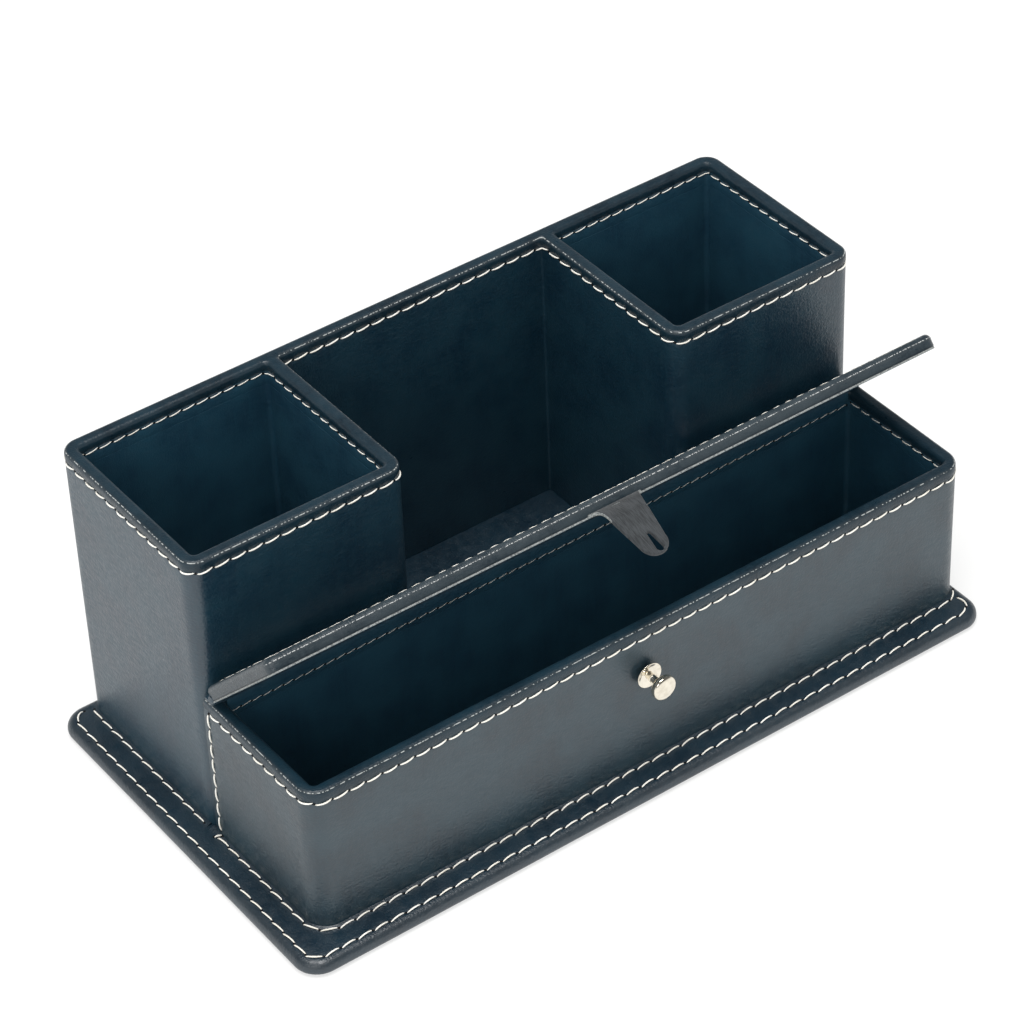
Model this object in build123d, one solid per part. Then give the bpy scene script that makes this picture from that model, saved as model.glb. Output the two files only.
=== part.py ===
"""Leather-covered desk organizer: two tall cups, an open bay between them, and a lidded box in front.

Boards of fibreboard stand on a base that shows at the front and at the left end, and are wrapped in
leather-cloth.  The leather rolls over every rim and turns out on that part of the base as a stitched
foot.  The box's lid turns on a leather hinge strip along the box's rear rim.  A tab on the lid's front
edge buttons over a metal stud on the box's front.

Millimetres, +Z up, +X to the right, -Y to the front.  The origin is on the base's underside, below the
middle of the walls.
"""
import os
from math import asin, cos, sin

from build123d import *

# ---------------------------------------------------------------- driving dimensions
HOUSING_WIDTH = 240.0        # over the leather, left wall to right wall
BOX_DEPTH = 54.0             # front box, front face to the cups' front faces
CUP_DEPTH = 70.5             # cups and bay, front faces to back face
BOX_HEIGHT = 52.5            # box rim above the base's top
CUP_HEIGHT = 100.5           # cup rims above the base's top
LEFT_CUP_WIDTH = 74.0
RIGHT_CUP_WIDTH = 69.0

WALL_BOARD = 3.0             # fibreboard of every wall
LEATHER = 0.7                # cover and lining
RIM_ROLL = 1.5               # leather and padding above a board's top edge
RIM_ROUNDING = 1.9           # rolled outer edge along every rim
RIM_BEVEL = 1.2              # inner edge of every rim
TURNOVER = 8.0               # how far the cover turns down inside a rim before the lining starts
CUP_CORNER = 5.5             # outer vertical corners of the cups
BOX_FRONT_CORNER = 7.0       # outer vertical corners at the box's front
INNER_CORNER = 1.5           # lining in the inner vertical corners
FOOT_WIDTH = 2.6             # leather turned out on the base
FOOT_COVE = 1.0              # slope from wall to foot
FLOOR_THICKNESS = 1.2        # lined card on each floor
FLOOR_CLEARANCE = 0.15       # round each floor card

BASE_MARGIN = 11.0           # base beyond the walls, at the front and the left end
BASE_FAR_MARGIN = 2.2        # base beyond the walls, at the back and the right end
BASE_BOARD = 3.0
BOARD_BEVEL = 0.9            # base board's edges, so the leather turns smoothly
BASE_CORNER = 8.0
BASE_EDGE_ROUNDING = 2.0     # along the top edge
BASE_EDGE_BEVEL = 1.2        # along the bottom edge
BASE_TURNUNDER = 14.0        # cover turned under the base's edge
FELT = 0.4
FELT_INSET = 3.0             # felt back from the base's edge

LID_BOARD = 3.6
LID_OPEN_ANGLE = 45.0        # modelled pose: degrees up from closed
LID_GAP = 0.3                # lid above the rims when closed
LID_END_INSET = 0.4          # lid ends inside the box's ends
LID_EDGE_ROUNDING = 1.5
LID_CORNER = 3.0
LINING_LIP = 0.9             # lid lining beyond the lid's wrapped edge

HINGE_SETBACK = 4.0          # hinge axis in front of the cups' front faces
HINGE_BEAD = 1.5             # radius of the rolled leather at the axis
HINGE_CLEARANCE = 0.3        # lid's rear edge round the bead
HINGE_LEAF_DROP = 7.0        # strip glued down the inside of the box's rear wall
LID_REAR_LAP = 1.0           # lid's rear edge in front of the axis

CLOSURE_X = -2.6             # stud and buttonhole, from the middle of the box
STUD_DROP = 17.4             # stud centre below the box's rim
STUD_FLANGE = 4.3            # radii
STUD_HEAD = 4.1
STUD_NECK = 1.2
STUD_FLANGE_DEPTH = 2.0      # lengths out from the box's front
STUD_NECK_DEPTH = 6.3
STUD_LENGTH = 10.2
STUD_HEAD_BEVEL = 0.7
STUD_DOME = 0.4
SCREW_RADIUS = 0.8
SCREW_CLEARANCE = 0.05
SCREW_REACH = 4.6            # thread inside the stud
SCREW_HEAD = 2.8
SCREW_HEAD_DEPTH = 1.4
WASHER_RADIUS = 4.0
WASHER_THICKNESS = 0.5

TAB_WIDTH = 10.0
TAB_LENGTH = 22.0            # crease to tip
TAB_THICKNESS = 1.2
TAB_BEND = 62.5              # modelled pose: degrees down from the lid's own plane
TAB_CREASE_GAP = 0.3         # tab's root to the lining's lug
TAB_SHOULDER = 4.0           # flare each side of the tab's root
TAB_SHOULDER_LENGTH = 4.5
LUG_SHOULDER = 6.0           # flare each side of the lining's lug
LUG_LENGTH = 2.1             # lug in front of the lining's lip
SLIT_PLAY = 0.2              # slit each side of the stud's neck
SLIT_LENGTH = 6.0
SLIT_OFFSET = 0.6            # slit to the right of the tab's middle

# ---------------------------------------------------------------- worked-out places
WALL = WALL_BOARD + 2 * LEATHER
HOUSING_DEPTH = BOX_DEPTH + CUP_DEPTH
BASE_TOP = FELT + BASE_BOARD + 2 * LEATHER
LEFT = -HOUSING_WIDTH / 2
RIGHT = HOUSING_WIDTH / 2
FRONT = -HOUSING_DEPTH / 2
BACK = HOUSING_DEPTH / 2
CUP_FRONT = FRONT + BOX_DEPTH
BAY_LEFT = LEFT + LEFT_CUP_WIDTH
BAY_RIGHT = RIGHT - RIGHT_CUP_WIDTH
BOX_RIM = BASE_TOP + BOX_HEIGHT
CUP_RIM = BASE_TOP + CUP_HEIGHT
HINGE_Y = CUP_FRONT - HINGE_SETBACK
HINGE_Z = BOX_RIM + HINGE_BEAD
LID_BOTTOM = BOX_RIM + LID_GAP
LID_TOP = LID_BOTTOM + LID_BOARD + 2 * LEATHER
STUD_Z = BOX_RIM - STUD_DROP
CREASE_Y = FRONT - LINING_LIP - LUG_LENGTH
CREASE_Z = LID_BOTTOM
TAB_X = CLOSURE_X - SLIT_OFFSET


# ---------------------------------------------------------------- helpers
def block(x0, x1, y0, y1, z0, z1):
    """Square-cornered block between two corners."""
    return Pos((x0 + x1) / 2, (y0 + y1) / 2, (z0 + z1) / 2) * Box(x1 - x0, y1 - y0, z1 - z0)


def prism(x0, x1, y0, y1, z0, z1, corners):
    """Upright block whose vertical corners are rounded.

    corners maps the place of a corner, such as ("left", "front"), to its radius.
    """
    solid = block(x0, x1, y0, y1, z0, z1)
    places = {"left": x0, "right": x1, "front": y0, "back": y1}
    for (side, end), radius in corners.items():
        if radius > 0:
            edge = solid.edges().filter_by(Axis.Z).sort_by_distance(
                (places[side], places[end], (z0 + z1) / 2))[0]
            solid = fillet(edge, radius)
    return solid


def all_corners(radius):
    """The same radius at all four corners."""
    return {(side, end): radius for side in ("left", "right") for end in ("front", "back")}


def foot_ring(y0, y1):
    """Leather turned out on the base along the walls' front and left foot, sloped up into them.

    Only the stretch between two depths is kept, so each cover gets its own.
    """
    corners = {("left", "front"): BOX_FRONT_CORNER, ("right", "front"): BOX_FRONT_CORNER,
               ("left", "back"): CUP_CORNER, ("right", "back"): CUP_CORNER}
    wide_corners = {place: radius + FOOT_WIDTH for place, radius in corners.items()}
    foot_top = BASE_TOP + LEATHER
    wall = prism(LEFT, RIGHT, FRONT, BACK, BASE_TOP, foot_top + 2 * FOOT_COVE, corners)
    flange = prism(LEFT - FOOT_WIDTH, RIGHT + FOOT_WIDTH, FRONT - FOOT_WIDTH, BACK + FOOT_WIDTH,
                   BASE_TOP, foot_top, wide_corners)
    joined = wall + flange
    inner_loop = joined.faces().filter_by(Axis.Z).sort_by(Axis.Z)[1].inner_wires()[0]
    joined = chamfer(inner_loop.edges(), FOOT_COVE)
    kept = joined & block(LEFT - FOOT_WIDTH, RIGHT, y0, y1, BASE_TOP, foot_top + FOOT_COVE)
    return kept - block(LEFT + LEATHER, RIGHT - LEATHER, FRONT + LEATHER, BACK - LEATHER,
                        BASE_TOP, foot_top + FOOT_COVE)


def roll_rim(cover):
    """Round the outer edge of a cover's rim and bevel the edges that turn down inside."""
    rim = cover.faces().sort_by(Axis.Z)[-1]
    cover = fillet(rim.outer_wire().edges(), RIM_ROUNDING)
    rim = cover.faces().sort_by(Axis.Z)[-1]
    return chamfer([edge for wire in rim.inner_wires() for edge in wire.edges()], RIM_BEVEL)


def save(name, solid):
    """Write one sub-part under its own name."""
    solid.label = name
    export_step(solid, f"parts/{name}.step")


# ---------------------------------------------------------------- base
def base_outline(inset, z0, z1):
    """The base's rounded footprint, drawn in from its edge."""
    near = BASE_MARGIN - inset
    far = BASE_FAR_MARGIN - inset
    radius = max(BASE_CORNER - inset, 1.0)
    return prism(LEFT - near, RIGHT + far, FRONT - near, BACK + far, z0, z1, all_corners(radius))


def make_base():
    """Board, wrapped cover, liner in the turned-under opening, and felt."""
    board = base_outline(LEATHER, FELT + LEATHER, BASE_TOP - LEATHER)
    board = chamfer(board.edges().filter_by(Axis.Z, reverse=True), BOARD_BEVEL)
    cover = base_outline(0, FELT, BASE_TOP)
    cover = fillet(cover.faces().sort_by(Axis.Z)[-1].edges(), BASE_EDGE_ROUNDING)
    cover = chamfer(cover.faces().sort_by(Axis.Z)[0].edges(), BASE_EDGE_BEVEL)
    liner = base_outline(BASE_TURNUNDER, FELT, FELT + LEATHER)
    return {
        "base_board": board,
        "base_cover": cover - board - liner,
        "base_liner": liner,
        "base_felt": base_outline(FELT_INSET, 0, FELT),
    }


# ---------------------------------------------------------------- rear housing
def cup_block(x0, x1, outer_side, inset, z0, z1):
    """A cup's outside; its three free corners are rounded, the one on the back wall is square."""
    radius = CUP_CORNER - inset
    corners = {("left", "front"): radius, ("right", "front"): radius, (outer_side, "back"): radius}
    return prism(x0 + inset, x1 - inset, CUP_FRONT + inset, BACK - inset, z0, z1, corners)


def housing_block(inset, z0, z1):
    """Both cups and the back wall that joins them, before they are hollowed."""
    left = cup_block(LEFT, BAY_LEFT, "left", inset, z0, z1)
    right = cup_block(BAY_RIGHT, RIGHT, "right", inset, z0, z1)
    back = block(BAY_LEFT - WALL, BAY_RIGHT + WALL, BACK - WALL + inset, BACK - inset, z0, z1)
    return left + right + back


def cavity(x0, x1, y0, y1, z0, z1, growth=0.0):
    """The space inside four walls; growth takes it out to the boards, whose corners are square."""
    corners = {} if growth > 0 else all_corners(INNER_CORNER)
    return prism(x0 + WALL - growth, x1 - WALL + growth, y0 + WALL - growth, y1 - WALL + growth,
                 z0, z1, corners)


def floor_card(x0, x1, y0, y1):
    """Lined card that drops onto the base between four faces."""
    gap = FLOOR_CLEARANCE
    return prism(x0 + gap, x1 - gap, y0 + gap, y1 - gap, BASE_TOP, BASE_TOP + FLOOR_THICKNESS,
                 all_corners(INNER_CORNER))


def cup_spans():
    """Name and left and right outer faces of each cup."""
    return {"left": (LEFT, BAY_LEFT), "right": (BAY_RIGHT, RIGHT)}


def housing_boards():
    """Seven boards: two sides, one back, two cup fronts and the two dividers beside the bay."""
    z0 = BASE_TOP
    z1 = CUP_RIM - RIM_ROLL
    skin = LEATHER
    deep = LEATHER + WALL_BOARD
    envelope = housing_block(skin, z0, z1)
    back_y = BACK - deep
    front_y = CUP_FRONT + deep
    places = {
        "left_wall_board": (LEFT + skin, LEFT + deep, CUP_FRONT, BACK),
        "right_wall_board": (RIGHT - deep, RIGHT - skin, CUP_FRONT, BACK),
        "back_wall_board": (LEFT + deep, RIGHT - deep, back_y, BACK),
        "left_divider_board": (BAY_LEFT - deep, BAY_LEFT - skin, CUP_FRONT, back_y),
        "right_divider_board": (BAY_RIGHT + skin, BAY_RIGHT + deep, CUP_FRONT, back_y),
        "left_cup_front_board": (LEFT + deep, BAY_LEFT - deep, CUP_FRONT, front_y),
        "right_cup_front_board": (BAY_RIGHT + deep, RIGHT - deep, CUP_FRONT, front_y),
    }
    return {name: envelope & block(*place, z0, z1) for name, place in places.items()}


def cup_lining(x0, x1):
    """Thin box of lining up to the cover's turned-down edge."""
    top = CUP_RIM - TURNOVER
    outer = cavity(x0, x1, CUP_FRONT, BACK, BASE_TOP, top, growth=LEATHER)
    return outer - cavity(x0, x1, CUP_FRONT, BACK, BASE_TOP, top)


def bay_lining():
    """Facing on the bay's back wall, up to the cover's turned-down edge."""
    return block(BAY_LEFT, BAY_RIGHT, BACK - WALL, BACK - WALL + LEATHER, BASE_TOP, CUP_RIM - TURNOVER)


def make_housing():
    """Boards, linings, floors and the one cover that wraps them."""
    boards = housing_boards()
    linings = {f"{side}_cup_lining": cup_lining(*span) for side, span in cup_spans().items()}
    linings["middle_bay_lining"] = bay_lining()

    cover = housing_block(0, BASE_TOP, CUP_RIM)
    for span in cup_spans().values():
        cover -= cavity(*span, CUP_FRONT, BACK, BASE_TOP, CUP_RIM)
    cover = roll_rim(cover) + foot_ring(CUP_FRONT + CUP_CORNER, BACK)
    for inner in list(boards.values()) + list(linings.values()):
        cover -= inner

    floors = {f"{side}_cup_floor": floor_card(x0 + WALL, x1 - WALL, CUP_FRONT + WALL, BACK - WALL)
              for side, (x0, x1) in cup_spans().items()}
    floors["middle_bay_floor"] = floor_card(BAY_LEFT, BAY_RIGHT, CUP_FRONT, BACK - WALL)
    return {**boards, **linings, "housing_cover": cover, **floors}


# ---------------------------------------------------------------- front box
def box_block(inset, z0, z1):
    """The box's outside, round at the front and square against the cups."""
    radius = BOX_FRONT_CORNER - inset
    corners = {("left", "front"): radius, ("right", "front"): radius}
    return prism(LEFT + inset, RIGHT - inset, FRONT + inset, CUP_FRONT - inset, z0, z1, corners)


def box_boards():
    """Four boards; the long ones run between the ends."""
    z1 = BOX_RIM - RIM_ROLL
    skin = LEATHER
    deep = LEATHER + WALL_BOARD
    envelope = box_block(skin, BASE_TOP, z1)
    places = {
        "box_left_board": (LEFT + skin, LEFT + deep, FRONT, CUP_FRONT),
        "box_right_board": (RIGHT - deep, RIGHT - skin, FRONT, CUP_FRONT),
        "box_front_board": (LEFT + deep, RIGHT - deep, FRONT, FRONT + deep),
        "box_rear_board": (LEFT + deep, RIGHT - deep, CUP_FRONT - deep, CUP_FRONT),
    }
    return {name: envelope & block(*place, BASE_TOP, z1) for name, place in places.items()}


def stud_bore(radius, y0, y1):
    """Round cutter along the stud's axis."""
    middle = Pos(CLOSURE_X, (y0 + y1) / 2, STUD_Z) * Rot(90, 0, 0)
    return middle * Cylinder(radius, y1 - y0)


def make_box():
    """Boards, lining, floor and cover of the front box, drilled for the stud's screw."""
    top = BOX_RIM - TURNOVER
    hole = stud_bore(SCREW_RADIUS + SCREW_CLEARANCE, FRONT - WALL, FRONT + 2 * WALL)
    boards = box_boards()
    boards["box_front_board"] -= hole
    lining = (cavity(LEFT, RIGHT, FRONT, CUP_FRONT, BASE_TOP, top, growth=LEATHER)
              - cavity(LEFT, RIGHT, FRONT, CUP_FRONT, BASE_TOP, top) - hole)

    cover = box_block(0, BASE_TOP, BOX_RIM) - cavity(LEFT, RIGHT, FRONT, CUP_FRONT, BASE_TOP, BOX_RIM)
    cover = roll_rim(cover) + foot_ring(FRONT - FOOT_WIDTH, CUP_FRONT)
    for inner in list(boards.values()) + [lining, hole]:
        cover -= inner

    floor = floor_card(LEFT + WALL, RIGHT - WALL, FRONT + WALL, CUP_FRONT - WALL)
    return {**boards, "box_lining": lining, "box_cover": cover, "box_floor": floor}


# ---------------------------------------------------------------- hinge and lid
def hinge_strip(box_parts):
    """Leather saddle over the box's rear rim, with the rolled bead that the lid turns on."""
    length = HOUSING_WIDTH - 2 * LID_END_INSET
    bead = Pos(0, HINGE_Y, HINGE_Z) * Rot(0, 90, 0) * Cylinder(HINGE_BEAD, length)
    wall_face = CUP_FRONT - WALL
    leaf = block(LEFT + WALL + LEATHER, RIGHT - WALL - LEATHER, wall_face - LEATHER, wall_face,
                 BOX_RIM - HINGE_LEAF_DROP, BOX_RIM)
    over_rim = block(-length / 2, length / 2, wall_face, CUP_FRONT, BOX_RIM - RIM_ROUNDING, BOX_RIM)
    under_bead = block(-length / 2, length / 2, HINGE_Y - HINGE_BEAD * 0.4, CUP_FRONT,
                       BOX_RIM, HINGE_Z - HINGE_BEAD * 0.25)
    strip = bead + leaf + over_rim + under_bead
    for neighbour in ("box_cover", "box_rear_board", "box_left_board", "box_right_board"):
        strip -= box_parts[neighbour]
    return strip


def lid_slab(inset, z0, z1, front_growth=0.0):
    """A closed lid's outline, drawn in from its wrapped edges."""
    corners = {("left", "front"): LID_CORNER - inset, ("right", "front"): LID_CORNER - inset}
    reach = HOUSING_WIDTH / 2 - LID_END_INSET - inset + front_growth
    return prism(-reach, reach, FRONT + inset - front_growth, HINGE_Y - LID_REAR_LAP - inset,
                 z0, z1, corners)


def flare(root_half, neck_half, length):
    """Flat shape that narrows from its root at y = 0 to its neck in two hollow curves."""
    swing = 0.3
    middle_x = neck_half + (root_half - neck_half) * swing
    middle_y = -length * swing
    right_side = ThreePointArc((neck_half, -length), (middle_x, middle_y), (root_half, 0))
    left_side = ThreePointArc((-root_half, 0), (-middle_x, middle_y), (-neck_half, -length))
    neck = Line((-neck_half, -length), (neck_half, -length))
    return make_face(Line((root_half, 0), (-root_half, 0)) + left_side + neck + right_side)


def make_lid():
    """Board, wrapped cover and lining of the lid, modelled closed."""
    bead_room = Pos(0, HINGE_Y, HINGE_Z) * Rot(0, 90, 0) * Cylinder(HINGE_BEAD + HINGE_CLEARANCE,
                                                                     HOUSING_WIDTH + 2 * LINING_LIP)
    lining_top = LID_BOTTOM + LEATHER
    board = lid_slab(LEATHER, lining_top, LID_TOP - LEATHER) - bead_room
    cover = lid_slab(0, lining_top, LID_TOP)
    cover = fillet(cover.faces().sort_by(Axis.Z)[-1].edges(), LID_EDGE_ROUNDING)
    cover = cover - board - bead_room
    lining = lid_slab(0, LID_BOTTOM, lining_top, front_growth=LINING_LIP) - bead_room
    root = TAB_WIDTH / 2 + TAB_SHOULDER
    lug_face = Pos(TAB_X, FRONT - LINING_LIP, LID_BOTTOM) * flare(root + LUG_SHOULDER, root, LUG_LENGTH)
    lug = extrude(lug_face, LEATHER)
    return {"lid_board": board, "lid_cover": cover, "lid_lining": lining + lug}


def make_tab():
    """Buttonhole tab lying in the lid's plane, its underside's crease on the X axis."""
    half = TAB_WIDTH / 2
    straight = TAB_LENGTH - half
    root = Pos(0, -TAB_CREASE_GAP, 0) * flare(half + TAB_SHOULDER, half, TAB_SHOULDER_LENGTH)
    strap = Pos(0, -(TAB_SHOULDER_LENGTH + straight) / 2, 0) * Rectangle(TAB_WIDTH,
                                                                        straight - TAB_SHOULDER_LENGTH)
    tip = Pos(0, -straight, 0) * Circle(half)
    slit_width = 2 * (STUD_NECK + SLIT_PLAY)
    slit = Pos(SLIT_OFFSET, STUD_Z - CREASE_Z, 0) * Rot(0, 0, 90) * SlotOverall(SLIT_LENGTH, slit_width)
    return extrude(root + strap + tip - slit, TAB_THICKNESS)


def open_lid(solid):
    """Turn a closed piece up about the hinge to the modelled pose."""
    return Pos(0, HINGE_Y, HINGE_Z) * Rot(-LID_OPEN_ANGLE, 0, 0) * Pos(0, -HINGE_Y, -HINGE_Z) * solid


# ---------------------------------------------------------------- closure stud
def make_stud():
    """Turned stud with a cupped flange and a mushroom head, its screw and its washer."""
    edge = STUD_HEAD - STUD_HEAD_BEVEL
    dome_foot = STUD_LENGTH - STUD_DOME
    dome_radius = (edge ** 2 + STUD_DOME ** 2) / (2 * STUD_DOME)
    half_turn = asin(edge / dome_radius) / 2
    dome_middle = (dome_radius * sin(half_turn), STUD_LENGTH - dome_radius * (1 - cos(half_turn)))
    profile = Polyline(
        (0, 0), (STUD_FLANGE * 0.6, 0), (STUD_FLANGE, STUD_FLANGE_DEPTH * 0.8),
        (STUD_FLANGE, STUD_FLANGE_DEPTH), (STUD_FLANGE * 0.85, STUD_FLANGE_DEPTH),
        (STUD_NECK, STUD_FLANGE_DEPTH * 0.6), (STUD_NECK, STUD_NECK_DEPTH),
        (STUD_HEAD * 0.7, STUD_NECK_DEPTH + STUD_HEAD_BEVEL),
        (STUD_HEAD, STUD_NECK_DEPTH + 2 * STUD_HEAD_BEVEL),
        (STUD_HEAD, dome_foot - STUD_HEAD_BEVEL), (edge, dome_foot))
    dome = ThreePointArc((edge, dome_foot), dome_middle, (0, STUD_LENGTH))
    section = make_face(profile + dome + Line((0, STUD_LENGTH), (0, 0)))
    turned = revolve(section, Axis.Y)
    bore = Pos(0, SCREW_REACH / 2, 0) * Rot(90, 0, 0) * Cylinder(SCREW_RADIUS + SCREW_CLEARANCE,
                                                                  SCREW_REACH)
    stud = Pos(CLOSURE_X, FRONT, STUD_Z) * Rot(0, 0, 180) * (turned - bore)
    washer_y = FRONT + WALL
    washer = (stud_bore(WASHER_RADIUS, washer_y, washer_y + WASHER_THICKNESS)
              - stud_bore(SCREW_RADIUS + SCREW_CLEARANCE, washer_y, washer_y + WASHER_THICKNESS))
    head_y = washer_y + WASHER_THICKNESS
    shank = stud_bore(SCREW_RADIUS, FRONT - SCREW_REACH + SCREW_CLEARANCE, head_y)
    head = stud_bore(SCREW_HEAD, head_y, head_y + SCREW_HEAD_DEPTH)
    head = chamfer(head.edges().sort_by(Axis.Y)[-1], SCREW_HEAD_DEPTH / 2)
    return {"closure_stud": stud, "stud_washer": washer, "stud_screw": shank + head}


# ---------------------------------------------------------------- assembly
def main():
    """Build every sub-part in place and write one file for each."""
    os.makedirs("parts", exist_ok=True)
    parts = {}
    parts.update(make_base())
    parts.update(make_housing())
    parts.update(make_box())
    parts["hinge_strip"] = hinge_strip(parts)
    parts.update({name: open_lid(solid) for name, solid in make_lid().items()})
    tab = Pos(TAB_X, CREASE_Y, CREASE_Z) * Rot(TAB_BEND, 0, 0) * make_tab()
    parts["closure_tab"] = open_lid(tab)
    parts.update(make_stud())
    for name, solid in parts.items():
        save(name, solid)


if __name__ == "__main__":
    main()
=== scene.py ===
"""Leather-covered desk organizer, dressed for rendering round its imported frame.

The classes hold millimetres in the frame's own axes: +X right, -Y front, +Z up.  Meshes are made in metres.
"""

import logging
import math
from dataclasses import dataclass, field
from enum import Enum
from typing import Any, Callable, Iterable, Sequence, Union

import bmesh
import bpy
import numpy as np
from mathutils import Matrix, Vector, geometry, noise

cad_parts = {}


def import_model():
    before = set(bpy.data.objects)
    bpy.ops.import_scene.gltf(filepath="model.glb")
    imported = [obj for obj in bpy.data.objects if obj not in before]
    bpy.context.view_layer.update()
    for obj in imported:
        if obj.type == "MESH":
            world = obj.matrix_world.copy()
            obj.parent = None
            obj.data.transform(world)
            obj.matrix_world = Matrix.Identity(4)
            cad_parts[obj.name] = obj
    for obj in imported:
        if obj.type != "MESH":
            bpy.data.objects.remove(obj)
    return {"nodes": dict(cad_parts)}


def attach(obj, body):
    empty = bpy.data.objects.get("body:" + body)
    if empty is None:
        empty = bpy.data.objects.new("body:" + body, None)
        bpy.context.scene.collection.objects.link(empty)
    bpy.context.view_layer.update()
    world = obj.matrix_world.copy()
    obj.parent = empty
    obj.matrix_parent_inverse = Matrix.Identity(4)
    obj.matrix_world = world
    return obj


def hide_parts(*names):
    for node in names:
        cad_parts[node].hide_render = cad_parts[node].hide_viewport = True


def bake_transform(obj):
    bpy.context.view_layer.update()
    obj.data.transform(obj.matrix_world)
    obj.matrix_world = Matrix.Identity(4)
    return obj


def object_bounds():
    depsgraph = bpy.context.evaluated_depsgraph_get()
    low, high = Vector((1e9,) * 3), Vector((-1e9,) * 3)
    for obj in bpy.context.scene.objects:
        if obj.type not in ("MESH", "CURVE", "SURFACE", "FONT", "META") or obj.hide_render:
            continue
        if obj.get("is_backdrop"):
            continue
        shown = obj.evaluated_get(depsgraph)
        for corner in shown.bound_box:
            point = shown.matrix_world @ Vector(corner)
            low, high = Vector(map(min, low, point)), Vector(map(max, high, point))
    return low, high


LOG = logging.getLogger("organizer")
MM = 0.001
SAMPLE_STEP = 1.4            # between mesh points along a wall
CORNER_REACH = 0.7           # share of a corner's radius by which a line can be drawn in parallel

HALF_WIDTH = 120.0
FRONT = -62.25
BACK = 62.25
CUP_FRONT = -8.25
BAY_LEFT = -46.0
BAY_RIGHT = 51.0
BASE_TOP = 4.8
BOX_RIM = 57.3
CUP_RIM = 105.3
WALL = 4.4
LEATHER = 0.7
TURNOVER = 8.0
HINGE_Y = -12.25
HINGE_Z = 58.8
LID_OPEN_ANGLE = 45.0
LID_BOTTOM = 57.6
LID_TOP = 62.6
TAB_X = -3.2
TAB_BEND = 62.5
CREASE_Y = -65.25
CLOSURE_X = -2.6
STUD_Z = 39.9
CUP_CORNER = 5.5
BOX_CORNER = 7.0
INNER_CORNER = 1.5

ROW_DEPTH = 0.13             # how far a row of stitches pulls into a wall
ROW_MARGIN = 0.3             # bare ends of the rows on the base
INNER_ROW = {"pitch": 4.8, "weight": 0.66}   # finer rows inside the rims
LEAF_ROW = {"pitch": 3.6, "weight": 0.28}    # the finest, along the hinge's leaf
FOOT_ROW_OUT = 1.2
FOOT_ROW_Z = BASE_TOP + 0.30


class Body(str, Enum):
    """The frame's moving bodies."""

    HOUSING = "housing"
    LID = "lid"
    TAB = "closure_tab"


class Facing(Enum):
    """Which side of a plan line shows."""

    OUT = 1.0
    IN = -1.0


# ---------------------------------------------------------------- plan lines and tracks
def unit(vectors: np.ndarray) -> np.ndarray:
    """Vectors scaled to length 1."""
    return vectors / np.maximum(np.linalg.norm(vectors, axis=-1, keepdims=True), 1e-12)


@dataclass
class Track:
    """A line on a surface, with the surface's outward direction at each of its points."""

    points: np.ndarray
    normals: np.ndarray
    closed: bool = True
    along: np.ndarray = field(init=False)
    length: float = field(init=False)

    def __post_init__(self) -> None:
        """Measure the line; a closed one gets its first point again at the end."""
        if self.closed:
            self.points = np.vstack([self.points, self.points[:1]])
            self.normals = np.vstack([self.normals, self.normals[:1]])
        steps = np.linalg.norm(np.diff(self.points, axis=0), axis=1)
        self.along = np.concatenate([[0.0], np.cumsum(steps)])
        self.length = float(self.along[-1])

    def at(self, distances: np.ndarray) -> tuple[np.ndarray, np.ndarray, np.ndarray]:
        """Points, normals and directions at distances along the line.

        Args:
            distances: distances from the line's start, in millimetres.

        Returns:
            The points, the surface's normals there and the line's directions.
        """
        where = np.mod(distances, self.length) if self.closed else distances
        point = np.stack([np.interp(where, self.along, self.points[:, k]) for k in range(3)], -1)
        normal = np.stack([np.interp(where, self.along, self.normals[:, k]) for k in range(3)], -1)
        index = np.clip(np.searchsorted(self.along, where, side="right") - 1, 0, len(self.along) - 2)
        direction = self.points[index + 1] - self.points[index]
        return point, unit(normal), unit(direction)


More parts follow.
